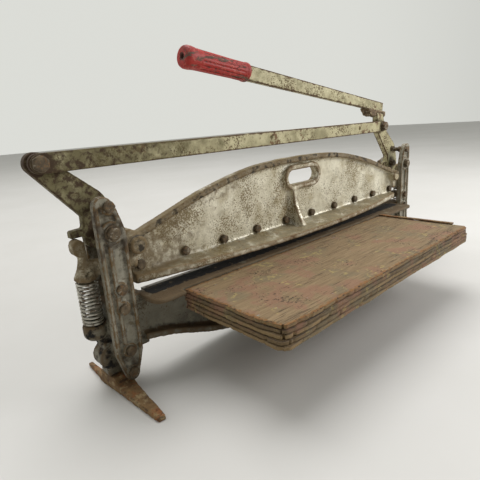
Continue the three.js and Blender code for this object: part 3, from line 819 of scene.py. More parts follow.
@dataclass(frozen=True)
class HexFastener:
    """A bolt along Y with its washer and nut, head towards -Y.

    Attributes:
        flat_mm, shank_mm: the distance from the axis to a flat, and to the thread's crests.
        head_mm, nut_mm, washer_mm: how thick each is.
        grip_mm: the distance from the head's underside to the nut.
        tail_mm: how far the thread stands out of the nut.
        corner, root: the reach of a worn corner against the flat's, and of a root against a crest's.
    """

    name: str
    flat_mm: float
    head_mm: float
    shank_mm: float
    grip_mm: float
    nut_mm: float
    tail_mm: float
    washer_mm: float = 0.0
    washer_radius_mm: float = 0.0
    pitch_mm: float = 1.25
    segments: int = 36
    corner: float = 1.12
    chamfer_deg: float = 32.0
    root: float = 0.86

    def build(self) -> bpy.types.Object:
        """Builds the fastener with its head's underside at the origin.

        Returns:
            The pattern object, which isn't shown.
        """
        shape = bmesh.new()
        grip = self.grip_mm
        self.hexagon(shape, 0.0, -self.head_mm)
        if self.washer_mm:
            self.tube(shape, [(self.washer_radius_mm, 0.0), (self.washer_radius_mm, self.washer_mm)])
        self.hexagon(shape, grip, grip + self.nut_mm)
        self.tube(shape, self.thread(grip * 0.5, grip + self.nut_mm + self.tail_mm))
        bmesh.ops.recalc_face_normals(shape, faces=shape.faces)
        pattern = new_object(self.name, to_mesh(shape, self.name))
        pattern.hide_render = True
        pattern.hide_viewport = True
        return pattern

    def hexagon(self, shape: bmesh.types.BMesh, base: float, top: float) -> None:
        """Adds a six-sided head or nut with worn corners and a chamfered top.

        Args:
            shape: the mesh in the making.
            base: where it bears, along Y.
            top: where it ends, along Y.
        """
        turn = np.linspace(0, 2 * math.pi, self.segments, endpoint=False)
        from_flat = (turn + math.pi / 6) % (math.pi / 3) - math.pi / 6
        corner = np.minimum(self.flat_mm / np.cos(from_flat), self.flat_mm * self.corner)
        away = math.copysign(1.0, top - base)
        drop = np.maximum(corner - self.flat_mm * 0.98, 0) * math.tan(math.radians(self.chamfer_deg))
        # From the base up: broken lower edge, flats, foot of the chamfer, rim of the crown, its middle.
        rings = [
            (corner * 0.97, np.full_like(turn, base)),
            (corner, np.full_like(turn, base + away * 0.3)),
            (corner, top - away * (drop + 0.45)),
            (np.full_like(turn, self.flat_mm * 0.86), np.full_like(turn, top - away * 0.1)),
            (np.full_like(turn, self.flat_mm * 0.45), np.full_like(turn, top)),
        ]
        self.loft(shape, turn, rings)

    def thread(self, start: float, end: float) -> list[tuple[float, float]]:
        """The outline of a threaded end: crests and roots, with a chamfered tip.

        Args:
            start: where the thread starts, along Y.
            end: where the tip ends.

        Returns:
            Radius and distance along Y for each ring.
        """
        crests = int((end - start) / self.pitch_mm)
        outline = [(self.shank_mm, start - 1.0)]
        for i in range(crests):
            along = start + i * self.pitch_mm
            outline += [(self.shank_mm, along), (self.shank_mm * self.root, along + self.pitch_mm / 2)]
        return [*outline, (self.shank_mm * 0.8, end)]

    def tube(self, shape: bmesh.types.BMesh, outline: list[tuple[float, float]]) -> None:
        """Adds a closed round solid from (radius, distance along Y) pairs."""
        turn = np.linspace(0, 2 * math.pi, self.segments // 2, endpoint=False)
        rings = [(np.full_like(turn, radius), np.full_like(turn, along)) for radius, along in outline]
        self.loft(shape, turn, rings)

    @staticmethod
    def loft(shape: bmesh.types.BMesh, turn: np.ndarray, rings: list[tuple[np.ndarray, np.ndarray]]) -> None:
        """Joins rings around Y and closes both ends.

        Args:
            shape: the mesh in the making.
            turn: the angle of each vertex in a ring.
            rings: the radii and the distances along Y of each ring's vertices.
        """
        rows = [
            [
                shape.verts.new(Vector((r * math.cos(t), y, r * math.sin(t))) * MM)
                for r, y, t in zip(radius, along, turn)
            ]
            for radius, along in rings
        ]
        stitch(shape, rows)
        shape.faces.new(rows[0])
        shape.faces.new(rows[-1])


def declare(tree: bpy.types.NodeTree, inputs: dict[str, str], output: str) -> None:
    """Gives a Geometry Nodes tree its named inputs and its output.

    Args:
        tree: the node group.
        inputs: the kind of each input, by name.
        output: the name of the geometry it gives.
    """
    for name, kind in inputs.items():
        tree.interface.new_socket(name, in_out="INPUT", socket_type=f"NodeSocket{kind}")
    tree.interface.new_socket(output, in_out="OUTPUT", socket_type="NodeSocketGeometry")


def give_instances(
    tree: bpy.types.NodeTree, instances: bpy.types.NodeSocket, finish: bpy.types.NodeSocket, output: str
) -> None:
    """Ends a tree: makes its instances real and gives them their finish.

    Args:
        tree: the node group.
        instances: the placed instances.
        finish: the material.
        output: the name of the tree's output.
    """
    real = add(tree, "GeometryNodeRealizeInstances", {"Geometry": instances}).outputs[0]
    dressed = add(tree, "GeometryNodeSetMaterial", {"Geometry": real, "Material": finish}).outputs[0]
    add(tree, "NodeGroupOutput", {output: dressed})


class ScatterTree:
    """Geometry Nodes that put one pattern on every point, each turned by a random amount about Y."""

    NAME = "fasteners_on_points"

    def __init__(self) -> None:
        """Builds the tree, or takes the one already built."""
        self.tree = bpy.data.node_groups.get(self.NAME) or self.make()

    def make(self) -> bpy.types.NodeTree:
        """Builds the tree with its named inputs.

        Returns:
            The node group.
        """
        tree = bpy.data.node_groups.new(self.NAME, "GeometryNodeTree")
        kinds = {
            "Points": "Geometry",
            "Pattern": "Object",
            "Most Turn": "Float",
            "Turn Seed": "Int",
            "Finish": "Material",
        }
        declare(tree, kinds, "Fasteners")
        given = add(tree, "NodeGroupInput")
        pattern = add(tree, "GeometryNodeObjectInfo", {"Object": given.outputs["Pattern"]})
        turn = add(
            tree,
            "FunctionNodeRandomValue",
            {"Min": 0.0, "Max": given.outputs["Most Turn"], "Seed": given.outputs["Turn Seed"]},
            data_type="FLOAT",
        )
        value = next(s for s in turn.outputs if s.enabled)
        about_y = add(tree, "ShaderNodeCombineXYZ", {"Y": value})
        placed = add(
            tree,
            "GeometryNodeInstanceOnPoints",
            {
                "Points": given.outputs["Points"],
                "Instance": pattern.outputs["Geometry"],
                "Rotation": about_y.outputs[0],
            },
        )
        give_instances(tree, placed.outputs[0], given.outputs["Finish"], "Fasteners")
        return tree


def run_nodes(
    source: bpy.types.Object, tree: bpy.types.NodeTree, values: dict, name: str
) -> bpy.types.Object:
    """Runs a Geometry Nodes tree on an object and keeps the plain result.

    Args:
        source: the object it starts from, which is removed.
        tree: the node group.
        values: its inputs, by name.
        name: the result's name.

    Returns:
        The plain object.
    """
    modifier = source.modifiers.new("nodes", "NODES")
    modifier.node_group = tree
    identifiers = {item.name: item.identifier for item in tree.interface.items_tree if item.in_out == "INPUT"}
    for key, value in values.items():
        modifier[identifiers[key]] = value
    return settled(source, name)


@dataclass
class FastenerRun:
    """All fasteners of one kind on one body."""

    name: str
    body: str
    pattern: HexFastener
    places: list[Vector]
    stands_for: list[str]
    finish: Finish = RUSTY_BOLT_STEEL
    seed: int = 3
    slot: str = "bolt_steel"

    def build(self) -> bpy.types.Object:
        """Places the fasteners and puts them on their body.

        Returns:
            The finished object.
        """
        mesh = bpy.data.meshes.new(self.name)
        mesh.from_pydata([tuple(p) for p in self.places], [], [])
        values = {
            "Pattern": self.pattern.build(),
            "Most Turn": math.tau,
            "Turn Seed": self.seed,
            "Finish": self.finish.build(),
        }
        piece = run_nodes(new_object("points", mesh), ScatterTree().tree, values, self.name)
        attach(piece, self.body)
        if self.stands_for:
            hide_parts(*self.stands_for)
        LOG.info("%s: %d fasteners", self.name, len(self.places))
        return piece


def under_head(node: str, head_mm: float) -> Vector:
    """Finds the point under the head of a CAD bolt that lies along Y.

    Args:
        node: the bolt.
        head_mm: how high its head is.

    Returns:
        The point, in metres.
    """
    low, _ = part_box(node)
    centre = cad_centre(node)
    return Vector((centre.x, low.y + head_mm * MM, centre.z))


@dataclass
class Fasteners:
    """Every bolt and nut that shows."""

    clamp_keys: str = "cdef"
    blade_bolts: int = 10

    def build(self) -> None:
        """Builds each run of bolts."""
        sides = [side.value for side in Side]
        clamp = HexFastener(
            "clamp_bolt",
            flat_mm=5.5, head_mm=4.2, shank_mm=3.9,
            grip_mm=51.6, nut_mm=5.7, tail_mm=3.0,
        )
        names = [f"clamp_bolt_{key}_{side}" for side in sides for key in self.clamp_keys]
        self.run("clamp_bolts", "frame", clamp, names, [])
        pivot = HexFastener(
            "pivot_bolt",
            flat_mm=6.4, head_mm=4.8, shank_mm=5.8,
            grip_mm=52.8, nut_mm=6.7, tail_mm=3.0,
            washer_mm=1.6, washer_radius_mm=8.9,
            pitch_mm=1.6,
        )
        names = [f"pivot_bolt_{side}" for side in sides]
        self.run("pivot_bolts", "frame", pivot, names, [f"pivot_nut_{side}" for side in sides])
        stop = HexFastener(
            "stop_bolt",
            flat_mm=5.5, head_mm=4.2, shank_mm=3.9,
            grip_mm=10.1, nut_mm=5.7, tail_mm=26.0,
        )
        names = [f"stop_bolt_{side}" for side in sides]
        self.run("stop_bolts", "frame", stop, names, [f"stop_nut_{side}" for side in sides])
        blade = HexFastener(
            "blade_bolt",
            flat_mm=5.2, head_mm=4.7, shank_mm=3.1,
            grip_mm=14.9, nut_mm=4.7, tail_mm=2.7,
        )
        names = [f"blade_bolt_{i + 1}" for i in range(self.blade_bolts)]
        self.run("blade_bolts", "carrier", blade, names, [])
        tie = HexFastener(
            "tie_bolt",
            flat_mm=7.3, head_mm=5.3, shank_mm=3.9,
            grip_mm=21.0, nut_mm=6.2, tail_mm=3.0,
            washer_mm=1.4, washer_radius_mm=8.9,
        )
        for side in sides:
            self.run(f"tie_bolt_set_{side}", f"lever_{side}", tie, [f"tie_bolt_{side}"], [f"tie_nut_{side}"])

    @staticmethod
    def run(name: str, body: str, pattern: HexFastener, bolts: list[str], nuts: list[str]) -> None:
        """Builds one run in place of its CAD bolts and nuts.

        Args:
            name: the piece's name.
            body: the body it rides.
            pattern: the fastener.
            bolts: the CAD bolts, each of which gives a place.
            nuts: the CAD nuts that the same fasteners stand for.
        """
        places = [under_head(bolt, pattern.head_mm) for bolt in bolts]
        FastenerRun(name, body, pattern, places, [*bolts, *nuts], seed=len(name)).build()


# ---------------------------------------------------------------- springs


@dataclass
class ReturnSprings:
    """Two coil springs with closed ends that lift the blade carrier.
    """

    wire_mm: float = 1.4
    coil_mm: float = 10.2
    turns: int = 12
    height_mm: float = 51.0
    stroke_mm: float = 10.3
    points_per_turn: int = 30

    def build(self) -> bpy.types.Object:
        """Builds both springs as one piece, at full height, fixed to the frame.

        Returns:
            The finished object.
        """
        nodes = [f"spring_{side.value}" for side in Side]
        seats = []
        for node in nodes:
            low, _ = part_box(node)
            centre = cad_centre(node)
            seats.append(Vector((centre.x, centre.y, low.z + self.wire_mm * MM)))
        mesh = bpy.data.meshes.new("seats")
        mesh.from_pydata([tuple(s) for s in seats], [], [])
        values = {
            "Wire Radius": self.wire_mm * MM,
            "Coil Radius": self.coil_mm * MM,
            "Turns": float(self.turns),
            "Height": (self.height_mm - 2 * self.wire_mm) * MM,
            "Points Per Turn": self.points_per_turn,
            "Finish": DRAWN_SPRING_STEEL.build(),
        }
        piece = run_nodes(new_object("seats", mesh), self.coil_tree(), values, "return_springs")
        piece.data.shade_smooth()
        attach(piece, "frame")
        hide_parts(*nodes)
        low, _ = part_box(nodes[0])
        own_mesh(piece)
        LOG.info("return_springs: %d faces", len(piece.data.polygons))
        return piece

    def coil_tree(self) -> bpy.types.NodeTree:
        """Builds the Geometry Nodes tree for a coil whose last turns lie closed.

        Returns:
            The node group.
        """
        tree = bpy.data.node_groups.new("closed_end_coil", "GeometryNodeTree")
        sizes = dict.fromkeys(("Wire Radius", "Coil Radius", "Turns", "Height"), "Float")
        kinds = {"Seats": "Geometry", **sizes, "Points Per Turn": "Int", "Finish": "Material"}
        declare(tree, kinds, "Coils")
        given = add(tree, "NodeGroupInput").outputs
        spiral = add(
            tree,
            "GeometryNodeCurveSpiral",
            {
                "Resolution": given["Points Per Turn"],
                "Rotations": given["Turns"],
                "Start Radius": given["Coil Radius"],
                "End Radius": given["Coil Radius"],
                "Height": 0.0,
            },
        )
        rise = self.rise(tree, given)
        spot = add(tree, "GeometryNodeInputPosition")
        parts = add(tree, "ShaderNodeSeparateXYZ", {0: spot.outputs[0]})
        raised = add(tree, "ShaderNodeCombineXYZ", {"X": parts.outputs[0], "Y": parts.outputs[1], "Z": rise})
        coil = add(
            tree, "GeometryNodeSetPosition", {"Geometry": spiral.outputs[0], "Position": raised.outputs[0]}
        )
        inputs = {"Resolution": 10, "Radius": given["Wire Radius"]}
        section = add(tree, "GeometryNodeCurvePrimitiveCircle", inputs)
        wire = add(
            tree,
            "GeometryNodeCurveToMesh",
            {"Curve": coil.outputs[0], "Profile Curve": section.outputs[0], "Fill Caps": True},
        )
        placed = add(
            tree, "GeometryNodeInstanceOnPoints", {"Points": given["Seats"], "Instance": wire.outputs[0]}
        )
        give_instances(tree, placed.outputs[0], given["Finish"], "Coils")
        return tree

    @staticmethod
    def rise(tree: bpy.types.NodeTree, given: bpy.types.bpy_prop_collection) -> bpy.types.NodeSocket:
        """Adds the height along the wire: one wire thickness over each end turn, even between.

        Args:
            tree: the node group.
            given: its inputs.

        Returns:
            The height of each point.
        """
        along = add(tree, "GeometryNodeSplineParameter").outputs["Factor"]
        turn = maths(tree, "DIVIDE", 1.0, given["Turns"])
        top = maths(tree, "SUBTRACT", 1.0, turn)
        wire = maths(tree, "MULTIPLY", given["Wire Radius"], 2.0)
        body = maths(tree, "SUBTRACT", given["Height"], maths(tree, "MULTIPLY", wire, 2.0))
        spans = [(0.0, turn, wire), (turn, top, body), (top, 1.0, wire)]
        total: bpy.types.NodeSocket | float = 0.0
        for start, end, gain in spans:
            total = maths(tree, "ADD", ramp(tree, along, start, end, gain), total)
        return total


# ---------------------------------------------------------------- board


@dataclass
class TileBoard:
    """The plywood board: separate plies with torn, uneven edges."""

    plies: int = 5
    corner_left_mm: float = 12.0
    corner_right_mm: float = 11.0
    step_mm: float = 3.0
    gap_mm: float = 0.3
    groove_mm: float = 1.1
    ragged_mm: float = 1.5
    band_mm: float = 12.0
    round_mm: float = 0.9
    tones: tuple[float, float] = (0.6, 0.3)
    tone_spread: float = 0.08
    groove_shade: float = 0.6
    top_wear: float = 0.35
    side_wear: float = 0.12
    slow_tear_per_mm: float = 0.035
    quick_tear_per_mm: float = 0.22
    seed: int = 11

    def build(self) -> bpy.types.Object:
        """Builds the board in place of its CAD block.

        Returns:
            The finished object.
        """
        low, high = (np.array(corner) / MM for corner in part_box("board"))
        sheet = self.sheet(low, high)
        rim = np.concatenate([sheet[:-1, 0], sheet[-1, :-1], sheet[:0:-1, -1], sheet[0, :0:-1]])
        shape = bmesh.new()
        side = shape.faces.layers.float.new("side")
        ply = shape.verts.layers.float.new("ply")
        edge = shape.verts.layers.float.new(Where.EDGES.value)
        random = np.random.default_rng(self.seed)
        thick = (high[2] - low[2]) / self.plies
        tones = np.where(np.arange(self.plies) % 2 == 0, *self.tones)
        tones = tones + random.uniform(-self.tone_spread, self.tone_spread, self.plies)
        for i in range(self.plies):
            is_top = i == self.plies - 1
            base = low[2] + i * thick
            top = base + thick - self.gap_mm
            spots, _ = self.torn(rim, low, high, i)
            back, _ = self.torn(rim, low, high, i, self.groove_mm)
            levels = [(back, base), (spots, base + self.round_mm), (spots, top - self.round_mm), (back, top)]
            if is_top:
                levels.pop()
            rows = [[shape.verts.new((x * MM, y * MM, z * MM)) for x, y in ring] for ring, z in levels]
            for ring, row in zip(levels, rows):
                for vert in row:
                    vert[ply] = tones[i] - (self.groove_shade if ring[0] is back else 0.0)
                    vert[edge] = self.top_wear if is_top else self.side_wear
            if is_top:
                rows.append(self.face(shape, sheet, low, high, i))
            else:
                shape.faces.new(rows[-1])
            shape.faces.new(rows[0])
            for wall in stitch(shape, rows):
                wall[side] = 1.0
        bmesh.ops.recalc_face_normals(shape, faces=shape.faces)
        mesh = to_mesh(shape, "tile_board")
        mesh.materials.append(WORN_PLYWOOD_SHEET.build())
        piece = new_object("tile_board", mesh)
        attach(piece, "frame")
        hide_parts("board")
        LOG.info("tile_board: %d plies", self.plies)
        return piece

    def sheet(self, low: np.ndarray, high: np.ndarray) -> np.ndarray:
        """An even grid over the board, squeezed into its two round front corners.

        Args:
            low: the lowest corner, in millimetres.
            high: the highest corner.

        Returns:
            X and Y for each column and row.
        """
        counts = [int((high[k] - low[k]) / self.step_mm) for k in (0, 1)]
        xs, ys = (np.linspace(low[k], high[k], counts[k]) for k in (0, 1))
        grid = np.stack(np.meshgrid(xs, ys, indexing="ij"), 2)
        for corner_x, away, radius in (
            (low[0], 1, self.corner_left_mm),
            (high[0], -1, self.corner_right_mm),
        ):
            centre = np.array([corner_x + away * radius, low[1] + radius])
            q = (grid - centre) / radius
            inside = (q[..., 0] * away < 0) & (q[..., 1] < 0)
            squeezed = q * np.sqrt(1 - q[..., ::-1].clip(-1, 1) ** 2 / 2)
            grid = np.where(inside[..., None], centre + squeezed * radius, grid)
        return grid

    def torn(
        self, points: np.ndarray, low: np.ndarray, high: np.ndarray, index: int, groove_mm: float = 0.0
    ) -> tuple[np.ndarray, np.ndarray]:
        """Draws one ply's outline in where it is torn.

        Args:
            points: X and Y of the points to move.
            low: the board's lowest corner, in millimetres.
            high: its highest corner.
            index: which ply, counted from below.
            groove_mm: how much deeper the joint between two plies is.

        Returns:
            The moved points, and how near each is to the outline, from 0 to 1.
        """
        near = [fade(points[..., k] - low[k], 0, self.band_mm) for k in (0, 1)]
        far = [fade(high[k] - points[..., k], 0, self.band_mm) for k in (0, 1)]
        inward = np.stack([near[0] - far[0], near[1] - far[1]], -1)
        flat = points.reshape(-1, 2)
        slow = np.array([noise.noise(Vector((*(p * self.slow_tear_per_mm), index * 3.7))) for p in flat])
        quick = np.array([noise.noise(Vector((*(p * self.quick_tear_per_mm), index * 5.1))) for p in flat])
        chips = ease(quick, 0.2, 0.5) * self.ragged_mm
        corner = fade(np.hypot(*(flat - low[:2]).T), 8, 34)
        back = 0.8 + slow * self.ragged_mm + quick * 0.4 + (chips + 0.6 * index) * (0.6 + 1.4 * corner)
        inset = np.maximum(back, 0.05) + groove_mm
        moved = points + inward * inset.reshape(points.shape[:-1])[..., None]
        return moved, np.maximum.reduce([*near, *far])

    def face(
        self, shape: bmesh.types.BMesh, sheet: np.ndarray, low: np.ndarray, high: np.ndarray, index: int
    ) -> list[bmesh.types.BMVert]:
        """Adds the top veneer as a fine grid, worn down towards its edges.

        Args:
            shape: the mesh in the making.
            sheet: X and Y for each column and row.
            low: the board's lowest corner, in millimetres.
            high: its highest corner.
            index: which ply, counted from below.

        Returns:
            The vertices round the rim.
        """
        edge = shape.verts.layers.float[Where.EDGES.value]
        spots, near = self.torn(sheet, low, high, index)
        columns, rows = near.shape
        grid = []
        for i in range(columns):
            row = []
            for j in range(rows):
                x, y = spots[i, j]
                wave = 0.2 + 0.2 * noise.noise(Vector((x * 0.012, y * 0.05, 0)))
                z = high[2] - wave - 0.5 * near[i, j] ** 3
                vert = shape.verts.new((x * MM, y * MM, z * MM))
                vert[edge] = near[i, j] ** 2
                row.append(vert)
            grid.append(row)
        for i in range(columns - 1):
            for j in range(rows - 1):
                shape.faces.new((grid[i][j], grid[i + 1][j], grid[i + 1][j + 1], grid[i][j + 1]))
        front = [grid[i][0] for i in range(columns - 1)]
        right = grid[-1][:-1]
        back = [grid[i][-1] for i in range(columns - 1, 0, -1)]
        return [*front, *right, *back, *grid[0][:0:-1]]


# ---------------------------------------------------------------- grip


@dataclass
class HandleGrip:
    """A moulded rubber grip with lengthwise ribs, a swollen end and a hanging hole."""

    length_mm: float = 108.0
    tilt_deg: float = 8.6
    ribs: int = 14
    rib_mm: float = 0.9
    hole_mm: float = 4.0
    segments: int = 108
    rings: int = 110

    def build(self) -> bpy.types.Object:
        """Builds the grip in place of its CAD solid.

        Returns:
            The finished object.
        """
        axis = Vector((-math.cos(math.radians(self.tilt_deg)), 0, math.sin(math.radians(self.tilt_deg))))
        up = Vector((-axis.z, 0, axis.x)) * -1
        start = cad_centre("handle_grip") - axis * self.length_mm / 2 * MM
        shape = bmesh.new()
        stain = shape.verts.layers.float.new(Where.STAINS.value)
        edge = shape.verts.layers.float.new(Where.EDGES.value)
        turn = np.linspace(0, 2 * math.pi, self.segments, endpoint=False)
        rows = []
        for along, radius, ribbed in self.outline():
            comb = np.cos(turn * self.ribs)
            radii = radius - ribbed * self.rib_mm * ease(comb, 0.1, 0.7)
            row = []
            for r, t, c in zip(radii, turn, comb):
                across = Vector((0, 1, 0)) * (r * math.sin(t))
                spot = start + (axis * along + across + up * (r * math.cos(t))) * MM
                vert = shape.verts.new(spot)
                # Painted shade: darker in the grooves between the ribs, darkest inside the hanging hole.
                vert[stain] = ribbed * max(0.0, c) * 0.5 + (1.0 if radius < self.hole_mm else 0.0)
                vert[edge] = 1.0 - max(0.0, c) * ribbed
                row.append(vert)
            rows.append(row)
        stitch(shape, rows)
        shape.faces.new(rows[0])
        shape.faces.new(rows[-1])
        bmesh.ops.recalc_face_normals(shape, faces=shape.faces)
        mesh = to_mesh(shape, "rubber_grip")
        mesh.shade_smooth()
        mesh.materials.append(MOULDED_RED_RUBBER.build())
        piece = new_object("rubber_grip", mesh)
        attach(piece, "lever_right")
        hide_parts("handle_grip")
        LOG.info("rubber_grip: %d ribs", self.ribs)
        return piece

    def outline(self) -> list[tuple[float, float, float]]:
        """The grip's side: distance along it, radius, and how deep its ribs are cut there.

        Returns:
            One row for each ring.
        """
        along = [0, 0.6, 2.2, 5.0, 8.0, 28.0, 54.0, 80.0, 91.0, 98.0, 103.0, 106.6, 108.0]
        radius = [11.2, 12.4, 13.0, 13.0, 12.3, 12.1, 12.5, 12.8, 13.1, 14.0, 14.0, 12.7, 10.1]
        at = np.linspace(0, self.length_mm, self.rings)
        smooth = np.interp(at, along, radius)
        ribbed = ease(at, 9, 13) * fade(at, 80, 86)
        side = list(zip(at, smooth, ribbed))
        end = self.length_mm
        return [*side, (end, 6.0, 0.0), (end - 0.2, 3.8, 0.0), (end - 1.0, 3.1, 0.0), (end - 9.0, 2.9, 0.0)]


# ---------------------------------------------------------------- sub-assemblies


def from_blade(points: np.ndarray) -> tuple[np.ndarray, np.ndarray, np.ndarray]:
    """Splits points in millimetres into X and Y from the lower blade's middle, and Z."""
    middle = cad_centre("lower_blade") / MM
    return points[:, 0] - middle.x, points[:, 1] - middle.y, points[:, 2]


@dataclass
class BladeCarrier:
    """The crescent casting that slides down with the upper blade."""

    bolt_shadow_spread_mm: float = 9.0
    boss_mm: tuple[float, float] = (-291.0, 164.0)
    crest: tuple[tuple[float, ...], tuple[float, ...]] = (
        (0, 100, 190, 250, 297),
        (232, 227.5, 209, 189.5, 174),
    )

    def build(self) -> None:
        """Builds the casting and dresses the blade."""
        Casting(
            "blade_carrier",
            "carrier",
            "cast_silver",
            SILVER_PAINTED_CASTING,
            voxel_mm=1.7,
            rounds=5,
            stain=self.stain,
        ).build()
        dress("upper_blade", GROUND_BLADE_STEEL)

    def stain(self, points: np.ndarray) -> np.ndarray:
        """Painted shadow beside the blade bolts, painted shade round the left boss and, mixed with brown
        dirt, over the left end; brown dirt on the top flange's front, and a darker band under the flange
        towards the left.

        Args:
            points: the casting's vertices, in millimetres.

        Returns:
            How stained each is, from 0 to 1.
        """
        x, y, z = from_blade(points)
        above_crest = z - np.interp(np.abs(x), *self.crest)
        # Painted shade, mixed with brown dirt, growing towards the left end.
        left_end = 0.72 * ease(-x, 80, 300)
        top_flange = 0.82 * ease(above_crest, -11, -8) * ease(-y, 10, 12)
        under_flange = 0.5 * ease(above_crest, -44, -16) * ease(-x, 20, 140) * ease(-y, 3, 5)
        # Painted shade in the dark recess round the left boss.
        from_boss = np.hypot(x - self.boss_mm[0], z - self.boss_mm[1])
        boss = np.maximum(0.7 * fade(from_boss, 12, 20), 1.1 * fade(from_boss, 6, 9))
        grime_and_shade = np.maximum.reduce([left_end, top_flange, under_flange, boss])
        # Painted shadow beside each blade bolt, set off towards the bolt's left side.
        for i in range(Fasteners.blade_bolts):
            bolt = cad_centre(f"blade_bolt_{i + 1}") / MM
            away = np.hypot(points[:, 0] - bolt.x + 2.5, z - bolt.z)
            grime_and_shade = np.maximum(grime_and_shade, 0.95 * fade(away, 4, self.bolt_shadow_spread_mm))
        return grime_and_shade


@dataclass
class Base:
    """The fish-belly base with its bed, lower blade, uprights and feet."""

    def build(self) -> None:
        """Builds the castings and dresses the small steel parts."""
        Casting(
            "base_casting",
            "frame",
            "cast_silver",
            GREASY_PAINTED_CASTING,
            voxel_mm=1.8,
            rounds=4,
            stain=self.stain,
        ).build()
        dress("lower_blade", GROUND_BLADE_STEEL)
        for side in Side:
            for row in ("front", "rear"):
                Casting(
                    f"{row}_upright_{side.value}",
                    "frame",
                    "upright_paint",
                    SILVER_PAINTED_IRON,
                    voxel_mm=0.9,
                    rounds=9,
                    lump_mm=0.3,
                    stain=self.upright_stain_and_shade,
                ).build()
            Casting(
                f"foot_{side.value}",
                "frame",
                "foot_steel",
                RUSTY_FORGED_STEEL,
                voxel_mm=1.0,
                rounds=5,
                lump_mm=0.5,
                lump_size_mm=14,
            ).build()
            dress(f"foot_bolt_{side.value}", RUSTY_BOLT_STEEL)
            dress(f"stop_spacer_{side.value}", RUSTY_BOLT_STEEL)

    @staticmethod
    def stain(points: np.ndarray) -> np.ndarray:
        """Rust on the spring cups and legs, painted shade towards the left end, and a near-black painted
        shadow along the back of the bed under the carrier's ledge.

        Args:
            points: the casting's vertices, in millimetres.

        Returns:
            How stained each is, from 0 to 1.
        """
        x, y, z = from_blade(points)
        # Painted shade: darker towards the left end.
        left_end = 0.2 * ease(-x, 100, 300)
        cups_and_legs = 0.8 * (ease(np.abs(x), 300, 335) * fade(z, 92, 104))
        # Painted shadow: the back strip of the bed, under the carrier's ledge, goes near black.
        bed = ease(z, 99, 103) * ease(y, -34, -24) * fade(np.abs(x), 286, 292)
        return np.maximum.reduce([left_end, cups_and_legs, bed])

    @staticmethod
    def upright_stain_and_shade(points: np.ndarray) -> np.ndarray:
        """Old greasy dirt round the pivot and the foot of each upright, and painted shade that darkens the
        uprights towards the left end.
        """
        x, _, z = from_blade(points)
        pivot = 0.35 * fade(np.abs(z - 185), 14, 40)
        foot = 0.4 * fade(z, 15, 60)
        # The last term is painted shade, darker towards the left end.
        return pivot + foot + 0.3 * ease(-x, 0, 300)


@dataclass
class Levers:
    """The two cranks, the tie bar and the long handle with its weld."""

    def build(self) -> None:
        """Builds every lever."""
        parts = [("crank_left", "lever_left"), ("crank_right", "lever_right"), ("tie_bar", "tie")]
        for node, body in [*parts, ("handle_bar", "lever_right")]:
            Casting(
                node,
                body,
                "lever_paint",
                CREAM_PAINTED_BAR,
                voxel_mm=1.1,
                rounds=2,
                lump_mm=0.12,
                lump_size_mm=25,
                stain=self.stain,
            ).build()
        Casting(
            "handle_saddle",
            "lever_right",
            "weld_steel",
            RUSTY_WELD,
            voxel_mm=0.8,
            rounds=5,
            lump_mm=1.6,
            lump_size_mm=5.5,
        ).build()
        HandleGrip().build()

    @staticmethod
    def stain(points: np.ndarray) -> np.ndarray:
        """Greasy dirt round the pins and pivots, more at the left end, and painted shade that darkens the
        levers towards the left end.
        """
        x, _, z = from_blade(points)
        # Painted shade: darker towards the left end.
        grease_and_shade = 0.80 * ease(-x, -40, 330)
        round_pins = 0.85 + 0.2 * ease(-x, 0, 300)
        pins = [cad_centre(f"tie_bolt_{side.value}") / MM for side in Side]
        pins += [cad_centre(f"pivot_bolt_{side.value}") / MM for side in Side]
        for pin in pins:
            away = np.hypot(points[:, 0] - pin.x, z - pin.z)
            grease_and_shade = np.maximum(grease_and_shade, round_pins * fade(away, 10, 21))
        return grease_and_shade


@dataclass
class BoardFittings:
    """The steel strip on the board's edge and the angle brackets under it."""

    def build(self) -> None:
        """Builds the strip and the brackets."""
        for node in ("board_edge_strip", "board_bracket_1", "board_bracket_2"):
            Casting(
                node, "frame", "trim_steel", RUSTY_FORGED_STEEL, voxel_mm=0.8, rounds=3, lump_mm=0.2
            ).build()


def dress(node: str, finish: Finish) -> None:
    """Gives a CAD node a finish and keeps its shape.

    Args:
        node: the CAD node.
        finish: what it is dressed in.
    """
    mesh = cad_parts[node].data
    mesh.materials.clear()
    mesh.materials.append(finish.build())
    LOG.info("%s: %s", node, finish.name)


# ---------------------------------------------------------------- studio


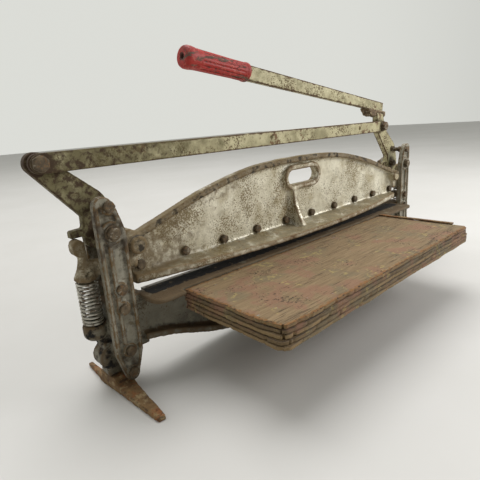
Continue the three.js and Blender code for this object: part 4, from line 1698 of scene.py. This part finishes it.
@dataclass
class Studio:
    """Pale floor, soft light and the camera."""

    eye: tuple[float, float, float] = (-0.49196, -0.35811, 0.28565)
    heading_rad: float = 0.838175
    dip_rad: float = 0.272600
    roll_rad: float = -0.070481
    lens_mm: float = 31.244
    sky: str = "#e6e7e1"
    wall_glow: float = 0.9
    room_glow: float = 0.36
    wall_from: float = -0.4
    wall_full: float = 0.6
    floor_m: float = 9.0
    aim: tuple[float, float, float] = (0, 0, 0.15)
    sensor_mm: float = 36.0
    near_m: float = 0.02
    far_m: float = 60.0

    def build(self) -> None:
        """Sets up everything round the object."""
        bpy.context.scene.view_settings.view_transform = "Standard"
        self.sky_dome()
        self.floor()
        self.lights()
        self.camera()

    def floor(self) -> None:
        """Lays a wide flat floor under the feet."""
        shape = bmesh.new()
        bmesh.ops.create_grid(shape, x_segments=8, y_segments=8, size=self.floor_m)
        mesh = to_mesh(shape, "floor")
        mesh.materials.append(PALE_FLOOR.build())
        new_object("floor", mesh)

    def sky_dome(self) -> None:
        """Surrounds the scene with an even glow: a bright wall behind it, a dimmer room in front."""
        world = bpy.data.worlds.new("sky")
        world.use_nodes = True
        tree = world.node_tree
        tree.nodes.clear()
        ahead = add(tree, "ShaderNodeTexCoord").outputs["Generated"]
        parts = add(tree, "ShaderNodeSeparateXYZ", {0: ahead})
        level = add(
            tree,
            "ShaderNodeMapRange",
            {
                "Value": parts.outputs["Y"],
                "From Min": self.wall_from,
                "From Max": self.wall_full,
                "To Min": self.room_glow,
                "To Max": self.wall_glow,
            },
            interpolation_type="SMOOTHSTEP",
        )
        inputs = {"Color": srgb(self.sky), "Strength": level.outputs["Result"]}
        glow = add(tree, "ShaderNodeBackground", inputs)
        add(tree, "ShaderNodeOutputWorld", {"Surface": glow.outputs[0]})
        bpy.context.scene.world = world

    def lights(self) -> None:
        """Hangs a large key light to the right of the camera and a broad one overhead."""
        self.lamp("key", (1.35, -1.15, 0.95), size=0.9, power=25.0)
        self.lamp("top", (0.3, 0.9, 3.4), size=2.8, power=95.0)

    def lamp(self, name: str, place: tuple[float, float, float], size: float, power: float) -> None:
        """Adds a square soft light that faces the object.

        Args:
            name: the light's name.
            place: where it hangs, in metres.
            size: the length of its side, in metres.
            power: in watts.
        """
        data = bpy.data.lights.new(name, "AREA")
        data.size = size
        data.energy = power
        lamp = bpy.data.objects.new(name, data)
        lamp.location = place
        towards = Vector(self.aim) - Vector(place)
        lamp.rotation_euler = towards.to_track_quat("-Z", "Y").to_euler()
        bpy.context.scene.collection.objects.link(lamp)

    def camera(self) -> None:
        """Adds the camera from its heading, dip and roll."""
        ahead = Vector(
            (
                math.cos(self.heading_rad) * math.cos(self.dip_rad),
                math.sin(self.heading_rad) * math.cos(self.dip_rad),
                -math.sin(self.dip_rad),
            )
        )
        right = Vector((math.sin(self.heading_rad), -math.cos(self.heading_rad), 0))
        up = right.cross(ahead)
        turn = Matrix.Rotation(self.roll_rad, 3, -ahead)
        right, up = turn @ right, turn @ up
        data = bpy.data.cameras.new("camera")
        data.lens = self.lens_mm
        data.sensor_width = self.sensor_mm
        data.clip_start = self.near_m
        data.clip_end = self.far_m
        camera = bpy.data.objects.new("camera", data)
        rows = Matrix((right, up, -ahead)).transposed()
        camera.matrix_world = Matrix.Translation(Vector(self.eye)) @ rows.to_4x4()
        bpy.context.scene.collection.objects.link(camera)
        bpy.context.scene.camera = camera


def main() -> None:
    """Builds the cutter."""
    logging.basicConfig(level=logging.INFO, format="%(name)s %(message)s")
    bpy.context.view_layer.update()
    Studio().build()
    Base().build()
    BladeCarrier().build()
    Levers().build()
    TileBoard().build()
    BoardFittings().build()
    ReturnSprings().build()
    Fasteners().build()


if __name__ == "__main__":
    main()
